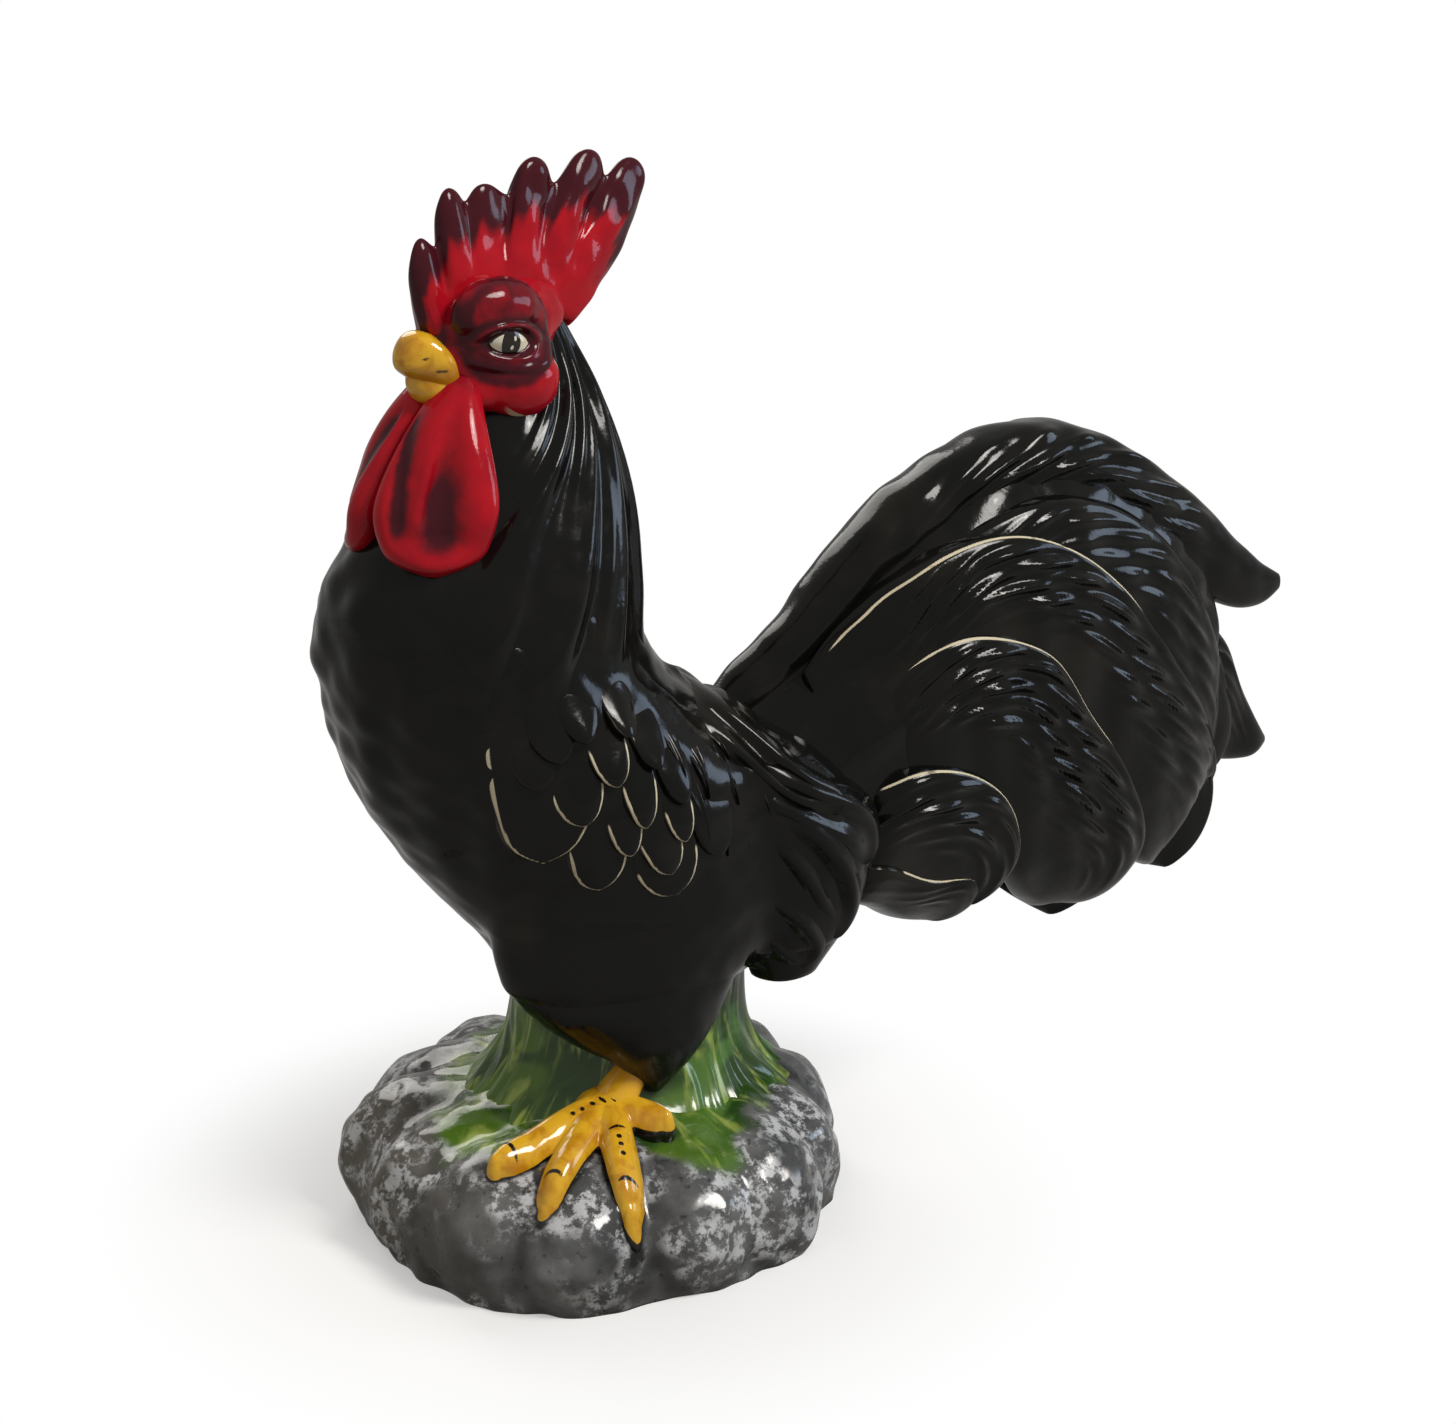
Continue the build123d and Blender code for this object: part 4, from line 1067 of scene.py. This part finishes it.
def maths(tree, kind, *values):
    """One arithmetic step."""
    return add(tree, "ShaderNodeMath", dict(enumerate(values)), operation=kind).outputs[0]


def coat(tree, base, mask, strength, tint):
    """A coat of a tint over a base colour, by a mask times a strength."""
    return mixed(tree, maths(tree, "MULTIPLY", mask, strength), base, tint)


def group(name, inputs, outputs):
    """Empty node group with sockets given by name and kind, its input and output nodes in place."""
    tree = bpy.data.node_groups.new(name, "ShaderNodeTree")
    for way, sockets in (("INPUT", inputs), ("OUTPUT", outputs)):
        for key, kind in sockets.items():
            tree.interface.new_socket(key, in_out=way, socket_type=f"NodeSocket{kind}")
    return tree, tree.nodes.new("NodeGroupInput").outputs, tree.nodes.new("NodeGroupOutput").inputs


def ripple_group():
    """Uneven thickness of the glaze: broad swells and a fine skin, as a height."""
    tree, given, out = group("glaze_ripple", {"Vector": "Vector", "Swell": "Float"}, {"Height": "Float"})
    broad = noise(tree, given["Vector"], 0.014, 1.0, 0.4)
    skin = noise(tree, given["Vector"], 0.0028, 2.0, 0.5)
    swell = maths(tree, "MULTIPLY", broad, given["Swell"])
    fill(tree, out["Height"], maths(tree, "MULTIPLY_ADD", skin, 0.12, swell))


def break_group():
    """Cream line where the glaze runs thin over an edge: a mask broken up by noise, and its colour."""
    tree, given, out = group(
        "glaze_break", {"Vector": "Vector", "Colour": "Color", "Cream": "Color", "Edge": "Float"},
        {"Colour": "Color", "Mask": "Float"})
    patchy = ramp(tree, noise(tree, given["Vector"], 0.009, 2.0), 0.2, 0.4)
    mask = maths(tree, "MULTIPLY", ramp(tree, given["Edge"], 0.25, 0.7), patchy)
    fill(tree, out["Colour"], mixed(tree, mask, given["Colour"], given["Cream"]))
    fill(tree, out["Mask"], mask)


def stroke_group():
    """Brushed grass: long strokes down the mound in several greens, from noise drawn out along them."""
    tree, given, out = group(
        "grass_strokes",
        {"Across": "Float", "Along": "Float", "Leaf": "Color", "Straw": "Color", "Deep": "Color"},
        {"Colour": "Color"})
    place = add(tree, "ShaderNodeCombineXYZ", {"X": given["Across"], "Y": given["Along"]}).outputs[0]
    strokes, patches = (
        add(tree, "ShaderNodeVectorMath", {0: place, 1: stretch}, operation="MULTIPLY").outputs[0]
        for stretch in ((38.0, 2.6, 1.0), (10.0, 3.4, 1.0)))
    thin = noise(tree, strokes, 1.0, 3.0, 0.55, 1.2)
    wide = noise(tree, patches, 1.0, 2.0, 0.5, 0.6)
    base = mixed(tree, ramp(tree, wide, 0.4, 0.62), given["Leaf"], given["Deep"])
    fill(tree, out["Colour"], mixed(tree, ramp(tree, thin, 0.5, 0.7, 0.0, 0.8), base, given["Straw"]))


def placed(tree, name, inputs):
    """Outputs of a shared node group placed in a material."""
    return add(tree, "ShaderNodeGroup", inputs, node_tree=bpy.data.node_groups[name]).outputs


def shared_groups():
    """Builds the node groups once."""
    builders = {"glaze_ripple": ripple_group, "glaze_break": break_group, "grass_strokes": stroke_group}
    for name, build in builders.items():
        if name not in bpy.data.node_groups:
            build()


def cream_edge(tree, vector, base, colours):
    """The base colour with cream where the rim mask says that the glaze breaks; also the mask of it."""
    given = {"Vector": vector, "Colour": base, "Cream": colours.cream, "Edge": attribute(tree, "rim")}
    return placed(tree, "glaze_break", given)


def black_paint(tree, vector, colours):
    """Near black with thin olive patches, cream where it breaks over an edge, duller where it is dry."""
    thin = ramp(tree, noise(tree, vector, 0.03, 2.0), 0.5, 0.75)
    edge = cream_edge(tree, vector, mixed(tree, thin, colours.black, colours.olive), colours)
    rough = gloss(tree, noise(tree, vector, 0.006, 3.0), 0.09, 0.17)
    rough = maths(tree, "MULTIPLY_ADD", attribute(tree, "dry"), 0.12, rough)
    return edge["Colour"], maths(tree, "MULTIPLY_ADD", edge["Mask"], 0.25, rough), 1.0


def red_paint(tree, vector, colours):
    """Crimson, maroon for a brushed second coat and for painted shade in the wattles, streaked between the
    two.
    """
    streak = noise(tree, vector, 0.006, 3.0, 0.6, 0.8)
    # The shade mask gives the maroon second coat, and on the wattles painted shade in the hollow and the
    # groove.
    second = ramp(tree, maths(tree, "MULTIPLY_ADD", streak, 0.5, attribute(tree, "shade")), 0.38, 0.95)
    deeper = ramp(tree, noise(tree, vector, 0.012, 2.0), 0.35, 0.7)
    base = mixed(tree, second, mixed(tree, deeper, colours.crimson, colours.ruby), colours.maroon)
    return cream_edge(tree, vector, base, colours)["Colour"], gloss(tree, streak, 0.07, 0.15), 0.7


def yellow_paint(tree, vector, colours):
    """Ochre with amber pools and brush marks in dark brown."""
    pool = ramp(tree, noise(tree, vector, 0.007, 3.0, 0.55, 0.5), 0.42, 0.72)
    base = mixed(tree, pool, colours.yellow, colours.amber)
    base = coat(tree, base, attribute(tree, "shade"), 0.75, colours.amber)
    base = mixed(tree, ramp(tree, attribute(tree, "ink"), 0.3, 0.7), base, colours.ink)
    return base, ramp(tree, pool, 0.0, 1.0, 0.1, 0.18), 0.6


def eye_paint(tree, vector, colours):
    """Warm white with the pupil and outline painted in dark brown."""
    warm = ramp(tree, noise(tree, vector, 0.003, 2.0), 0.4, 0.7)
    base = mixed(tree, warm, colours.eye_white, colours.cream)
    base = mixed(tree, ramp(tree, attribute(tree, "ink"), 0.35, 0.65), base, colours.ink)
    return base, gloss(tree, noise(tree, vector, 0.002), 0.05, 0.1), 0.2


def grass_colour(tree, vector, colours):
    """Brushed greens read from the stroke masks of rock and mound, bluer towards the tail."""
    place = add(tree, "ShaderNodeSeparateXYZ", {0: vector}).outputs
    tailward = ramp(tree, place["X"], -0.005, 0.045, 0.0, 0.7)
    given = {"Across": attribute(tree, "stroke"), "Along": attribute(tree, "reach"),
             "Leaf": mixed(tree, tailward, colours.leaf, colours.pine),
             "Straw": colours.straw, "Deep": colours.deep_green}
    return placed(tree, "grass_strokes", given)["Colour"]


def green_paint(tree, vector, colours):
    """Brushed greens of the grass mound."""
    rough = gloss(tree, noise(tree, vector, 0.006), 0.12, 0.22)
    return grass_colour(tree, vector, colours), rough, 0.9


def grey_paint(tree, vector, colours):
    """Dark slate with sponged pale patches on the bulges, black specks and the edge of the grass."""
    broad = maths(tree, "MULTIPLY_ADD", attribute(tree, "bulge"), 0.1, noise(tree, vector, 0.026, 2.0))
    region = ramp(tree, broad, 0.47, 0.6)
    sponge = ramp(tree, noise(tree, vector, 0.0052, 7.0, 0.72), 0.46, 0.57)
    haze = ramp(tree, noise(tree, vector, 0.022, 4.0, 0.6), 0.35, 0.7)
    speck = ramp(tree, noise(tree, vector, 0.0035, 4.0, 0.7), 0.6, 0.68)
    base = mixed(tree, haze, colours.slate, colours.stone)
    for mask, strength, tint in ((attribute(tree, "brown"), 0.75, colours.earth),
                                 (attribute(tree, "crease"), 0.45, colours.black),
                                 (region, sponge, colours.sponge),
                                 (speck, 0.7, colours.black),
                                 # black round the toes: the painted outline, and painted shadow next to them
                                 (attribute(tree, "ink"), 0.9, colours.black)):
        base = coat(tree, base, mask, strength, tint)
    base = mixed(tree, attribute(tree, "paint"), base, grass_colour(tree, vector, colours))
    return base, ramp(tree, sponge, 0.0, 1.0, 0.12, 0.3), 0.9


# Glazes by slot: material, paint, level of the shader's specular reflection
GLAZES = {
    "black_glaze": ("black_gloss", black_paint, 0.22),
    "red_glaze": ("red_gloss", red_paint, 0.2),
    "yellow_glaze": ("yellow_gloss", yellow_paint, 0.5),
    "eye_glaze": ("eye_gloss", eye_paint, 0.5),
    "green_glaze": ("green_gloss", green_paint, 0.5),
    "grey_glaze": ("grey_gloss", grey_paint, 0.5),
}


def glaze(slot):
    """Glossy glaze of a slot, made once: a principled shader with a rippled surface.

    The slot's paint gives its colour, its roughness and how much the ripples swell.
    """
    name, paint, specular = GLAZES[slot]
    if name in bpy.data.materials:
        return bpy.data.materials[name]
    shared_groups()
    material = bpy.data.materials.new(name)
    material.use_nodes = True
    tree = material.node_tree
    vector = add(tree, "ShaderNodeTexCoord").outputs["Object"]
    tint, rough, swell = paint(tree, vector, bpy.context.scene.rooster_colours)
    height = placed(tree, "glaze_ripple", {"Vector": vector, "Swell": swell})["Height"]
    relief = add(tree, "ShaderNodeBump", {"Height": height, "Strength": 0.5, "Distance": 0.0012})
    shader = tree.nodes["Principled BSDF"]
    for key, value in (("Base Color", tint), ("Roughness", rough), ("Normal", relief.outputs["Normal"]),
                       ("IOR", 1.52), ("Specular IOR Level", specular)):
        fill(tree, shader.inputs[key], value)
    return material


def colour(name, description, value):
    """Colour setting with its default."""
    return FloatVectorProperty(name=name, description=description, default=(*value, 1.0), subtype="COLOR",
                               size=4, min=0.0, max=1.0)


def length(name, description, value):
    """Length setting with its default."""
    return FloatProperty(name=name, description=description, default=value, unit="LENGTH", min=0.0,
                         precision=5)


def power(name, description, value):
    """Lamp power setting with its default."""
    return FloatProperty(name=name, description=description, default=value, unit="POWER", min=0.0)


class RoosterSizes(bpy.types.PropertyGroup):
    """Depth of the modelled details."""

    hackle_relief: length("Hackle relief", "Height of the long feathers on the neck", 0.0028)
    barb_relief: length("Barb relief", "Depth of the ridges on the tail and saddle feathers", 0.0016)
    feather_relief: length("Tail feather relief", "How far the first side feather stands off", 0.0024)
    scale_relief: length("Scale relief", "How far a wing scale stands off the flank, per step", 0.001)
    comb_thickness: length("Comb thickness", "Thickness of the comb behind its points", 0.0098)


class RoosterColours(bpy.types.PropertyGroup):
    """Colours of the glazes."""

    black: colour("Black", "Body of the bird", (0.004, 0.004, 0.0038))
    olive: colour("Olive", "Black glaze where it lies thin", (0.011, 0.01, 0.0075))
    cream: colour("Cream", "Clay that shows where the glaze breaks", (0.62, 0.55, 0.4))
    crimson: colour("Crimson", "Face, comb and wattles", (0.42, 0.006, 0.014))
    ruby: colour("Ruby", "Deeper red in the crimson", (0.32, 0.004, 0.013))
    # Maroon is also the painted shade in the wattles' hollows and grooves.
    maroon: colour("Maroon", "Second coat on the red", (0.055, 0.006, 0.011))
    yellow: colour("Yellow", "Beak and feet", (0.72, 0.4, 0.02))
    amber: colour("Amber", "Pools in the yellow", (0.5, 0.21, 0.008))
    ink: colour("Ink", "Brush marks on eyes, beak and feet", (0.012, 0.008, 0.006))
    eye_white: colour("Eye white", "White of the eyes", (0.75, 0.7, 0.58))
    leaf: colour("Leaf green", "Grass", (0.075, 0.15, 0.015))
    straw: colour("Straw green", "Light strokes in the grass", (0.32, 0.4, 0.085))
    pine: colour("Pine green", "Grass towards the tail", (0.06, 0.175, 0.05))
    deep_green: colour("Deep green", "Dark patches in the grass", (0.02, 0.055, 0.008))
    slate: colour("Slate", "Rock", (0.055, 0.057, 0.06))
    stone: colour("Stone", "Lighter haze on the rock", (0.15, 0.152, 0.155))
    sponge: colour("Sponge", "Pale sponged patches on the rock", (0.5, 0.51, 0.53))
    earth: colour("Earth", "Brownish edge of the rock", (0.1, 0.082, 0.06))


class RoosterStage(bpy.types.PropertyGroup):
    """Light, floor and camera."""

    key_power: power("Key light", "Power of the main soft light", 19.0)
    core_power: power("Core light", "Power of the bright middle of the key light", 1.5)
    cool_power: power("Cool light", "Power of the cool light on the right", 1.9)
    rear_power: power("Rear light", "Power of the wide light behind", 9.0)
    fill_power: power("Fill light", "Power of the wide light on the left", 7.0)
    camera_distance: length("Camera distance", "From the camera to the point it looks at", 0.85)
    lens: FloatProperty(name="Lens", description="Focal length", default=68.3, unit="CAMERA", min=1.0)
    floor: colour("Floor", "Plain floor", (0.9, 0.9, 0.9))


class PieceOperator:
    """Shared by the operators that build pieces."""

    bl_options = {"REGISTER", "UNDO"}


class ROOSTER_OT_base(PieceOperator, bpy.types.Operator):
    """Build the rock base"""

    bl_idname = "rooster.base"
    bl_label = "Rock base"

    def execute(self, context):
        put("rock_base", rock_shell(), "grey_glaze")
        return {"FINISHED"}


class ROOSTER_OT_mound(PieceOperator, bpy.types.Operator):
    """Build the grass mound"""

    bl_idname = "rooster.mound"
    bl_label = "Grass mound"

    def execute(self, context):
        put("grass_mound", mound_shell(), "green_glaze")
        return {"FINISHED"}


class ROOSTER_OT_legs(PieceOperator, bpy.types.Operator):
    """Build both thighs and feet"""

    bl_idname = "rooster.legs"
    bl_label = "Legs"

    def execute(self, context):
        for name, side, set_back in LEGS:
            put(f"{name}_thigh", thigh_shell(side, set_back), "black_glaze")
            put(f"{name}_foot", foot_shells(side, set_back), "yellow_glaze")
        return {"FINISHED"}


class ROOSTER_OT_body(PieceOperator, bpy.types.Operator):
    """Build the torso and the neck"""

    bl_idname = "rooster.body"
    bl_label = "Torso and neck"

    def execute(self, context):
        put("torso", torso_shell(), "black_glaze")
        put("neck", neck_shell(), "black_glaze")
        return {"FINISHED"}


class ROOSTER_OT_wings(PieceOperator, bpy.types.Operator):
    """Build both wings"""

    bl_idname = "rooster.wings"
    bl_label = "Wings"

    def execute(self, context):
        put_pair("wing", wing_shells(), "black_glaze")
        return {"FINISHED"}


class ROOSTER_OT_saddles(PieceOperator, bpy.types.Operator):
    """Build the saddle feathers of both sides"""

    bl_idname = "rooster.saddles"
    bl_label = "Saddle feathers"

    def execute(self, context):
        put_pair("saddle", saddle_shells(), "black_glaze")
        return {"FINISHED"}


class ROOSTER_OT_tail(PieceOperator, bpy.types.Operator):
    """Build the tail core and the two sickle feathers"""

    bl_idname = "rooster.tail"
    bl_label = "Tail core and sickles"

    def execute(self, context):
        depth = size_of("barb_relief")
        put("tail_core", core_shell(), "black_glaze")
        put("upper_sickle", sickle_shell(UPPER_SICKLE, 1.7 * depth, 125, 240), "black_glaze")
        put("lower_sickle", sickle_shell(LOWER_SICKLE, 1.0 * depth, 222, 262), "black_glaze")
        return {"FINISHED"}


class ROOSTER_OT_tail_feathers(PieceOperator, bpy.types.Operator):
    """Build the side feathers of the tail"""

    bl_idname = "rooster.tail_feathers"
    bl_label = "Tail feathers"

    def execute(self, context):
        for number in range(len(TAIL_FEATHERS)):
            put_pair(f"tail_feather_{number + 1}", tail_feather_shell(number), "black_glaze")
        return {"FINISHED"}


class ROOSTER_OT_head(PieceOperator, bpy.types.Operator):
    """Build the head, the comb and the wattles"""

    bl_idname = "rooster.head"
    bl_label = "Head, comb and wattles"

    def execute(self, context):
        put("head", head_shell(), "red_glaze")
        put("comb", comb_shell(), "red_glaze")
        for name, side in HEAD_SIDES:
            put(f"{name}_wattle", wattle_shell(side), "red_glaze")
        return {"FINISHED"}


class ROOSTER_OT_beak(PieceOperator, bpy.types.Operator):
    """Build the two halves of the beak"""

    bl_idname = "rooster.beak"
    bl_label = "Beak"

    def execute(self, context):
        put("upper_beak", beak_shell(UPPER_BEAK, 1.2, 1.0), "yellow_glaze")
        put("lower_beak", beak_shell(LOWER_BEAK, 0.0, 0.0), "yellow_glaze")
        return {"FINISHED"}


class ROOSTER_OT_eyes(PieceOperator, bpy.types.Operator):
    """Build both eyes"""

    bl_idname = "rooster.eyes"
    bl_label = "Eyes"

    def execute(self, context):
        for name, side in HEAD_SIDES:
            put(f"{name}_eye", eye_shell(side), "eye_glaze")
        return {"FINISHED"}


def backdrop(tree, path, mirrored_share):
    """How much of the white backdrop a ray sees: all of it from the camera, a share when mirrored."""
    direct = maths(tree, "MAXIMUM", path["Is Camera Ray"], path["Is Transmission Ray"])
    return maths(tree, "MULTIPLY_ADD", path["Is Glossy Ray"], mirrored_share, direct)


def put_floor(scene):
    """Wide level floor under the base."""
    mesh = bpy.data.meshes.new("floor")
    mesh.from_pydata([(-4, -4, 0), (4, -4, 0), (4, 4, 0), (-4, 4, 0)], [], [(0, 1, 2, 3)])
    floor = bpy.data.objects.new("floor", mesh)
    scene.collection.objects.link(floor)
    mesh.materials.append(floor_material(scene.rooster_stage.floor))


def put_lamps(scene):
    """Round area lamps that look at the target."""
    for name, place, size, tint, mirrored_lamp in LAMPS:
        lamp = bpy.data.lights.new(f"{name}_light", "AREA")
        lamp.shape = "DISK"
        lamp.energy = getattr(scene.rooster_stage, f"{name}_power")
        lamp.size = size
        lamp.color = tint
        lamp_object = bpy.data.objects.new(f"{name}_light", lamp)
        lamp_object.location = place
        lamp_object.visible_glossy = mirrored_lamp
        lamp_object.rotation_euler = (TARGET - Vector(place)).to_track_quat("-Z", "Y").to_euler()
        scene.collection.objects.link(lamp_object)


def put_world(scene):
    """Dim room whose walls look white to the camera."""
    world = bpy.data.worlds.new("room")
    scene.world = world
    world.use_nodes = True
    tree = world.node_tree
    white = backdrop(tree, add(tree, "ShaderNodeLightPath").outputs, 0.18)
    shade = mixed(tree, white, (0.24, 0.235, 0.22, 1.0), WHITE)
    fill(tree, tree.nodes["Background"].inputs["Color"], shade)


def put_camera(scene):
    """Camera at its distance and direction from the target."""
    level = np.cos(CAMERA_ELEVATION)
    back = Vector((np.sin(CAMERA_AZIMUTH) * level, -np.cos(CAMERA_AZIMUTH) * level,
                   np.sin(CAMERA_ELEVATION)))
    camera = bpy.data.cameras.new("camera")
    camera.lens = scene.rooster_stage.lens
    camera.sensor_width = 36.0
    camera.sensor_fit = "HORIZONTAL"
    camera_object = bpy.data.objects.new("camera", camera)
    camera_object.location = TARGET + back * scene.rooster_stage.camera_distance
    camera_object.rotation_euler = back.to_track_quat("Z", "Y").to_euler()
    scene.collection.objects.link(camera_object)
    scene.camera = camera_object


class ROOSTER_OT_stage(bpy.types.Operator):
    """Set up the floor, the lights, the world and the camera"""

    bl_idname = "rooster.stage"
    bl_label = "Stage"

    def execute(self, context):
        context.scene.view_settings.view_transform = "Standard"
        for step in (put_floor, put_lamps, put_world, put_camera):
            step(context.scene)
        return {"FINISHED"}


def floor_material(tint):
    """Plain pale floor that keeps the shadow near the bird and turns to the white backdrop further out."""
    material = bpy.data.materials.new("floor")
    material.use_nodes = True
    tree = material.node_tree
    shader = tree.nodes["Principled BSDF"]
    place = add(tree, "ShaderNodeTexCoord").outputs["Object"]
    distance = add(tree, "ShaderNodeVectorMath", {0: place}, operation="LENGTH").outputs["Value"]
    path = add(tree, "ShaderNodeLightPath").outputs
    base = mixed(tree, path["Is Camera Ray"], (0.18, 0.17, 0.15, 1.0), tint)
    for key, value in (("Base Color", base), ("Roughness", 0.9), ("Specular IOR Level", 0.0)):
        fill(tree, shader.inputs[key], value)
    white = backdrop(tree, path, 0.3)
    share = maths(tree, "MULTIPLY", ramp(tree, distance, 0.07, 0.17, 0.35, 1.0), white)
    glow = add(tree, "ShaderNodeEmission", {"Color": WHITE, "Strength": 1.0})
    mix = add(tree, "ShaderNodeMixShader", {0: share, 1: shader.outputs[0], 2: glow.outputs[0]})
    fill(tree, tree.nodes["Material Output"].inputs["Surface"], mix.outputs[0])
    return material


OPERATORS = (
    ROOSTER_OT_base, ROOSTER_OT_mound, ROOSTER_OT_legs, ROOSTER_OT_body, ROOSTER_OT_wings,
    ROOSTER_OT_saddles, ROOSTER_OT_tail, ROOSTER_OT_tail_feathers, ROOSTER_OT_head, ROOSTER_OT_beak,
    ROOSTER_OT_eyes, ROOSTER_OT_stage)
SETTINGS = (
    ("rooster_sizes", RoosterSizes), ("rooster_colours", RoosterColours), ("rooster_stage", RoosterStage))


class ROOSTER_PT_panel(bpy.types.Panel):
    """Settings and build steps of the rooster"""

    bl_idname = "ROOSTER_PT_panel"
    bl_label = "Glazed Rooster"
    bl_space_type = "VIEW_3D"
    bl_region_type = "UI"
    bl_category = "Rooster"

    def draw(self, context):
        for name, settings in SETTINGS:
            box = self.layout.box()
            box.label(text=settings.__doc__)
            for key in settings.__annotations__:
                box.prop(getattr(context.scene, name), key)
        for operator in OPERATORS:
            self.layout.operator(operator.bl_idname)


CLASSES = (*(settings for _, settings in SETTINGS), *OPERATORS, ROOSTER_PT_panel)


def register():
    """Registers the classes and hangs the settings on the scene."""
    for item in CLASSES:
        bpy.utils.register_class(item)
    for name, settings in SETTINGS:
        setattr(bpy.types.Scene, name, PointerProperty(type=settings))


def unregister():
    """Takes the settings and the classes away again."""
    for name, _ in SETTINGS:
        delattr(bpy.types.Scene, name)
    for item in reversed(CLASSES):
        bpy.utils.unregister_class(item)


def main():
    """Builds every piece and the stage."""
    register()
    bpy.ops.rooster.base()
    bpy.ops.rooster.mound()
    bpy.ops.rooster.legs()
    bpy.ops.rooster.body()
    bpy.ops.rooster.wings()
    bpy.ops.rooster.saddles()
    bpy.ops.rooster.tail()
    bpy.ops.rooster.tail_feathers()
    bpy.ops.rooster.head()
    bpy.ops.rooster.beak()
    bpy.ops.rooster.eyes()
    bpy.ops.rooster.stage()


if __name__ == "__main__":
    main()
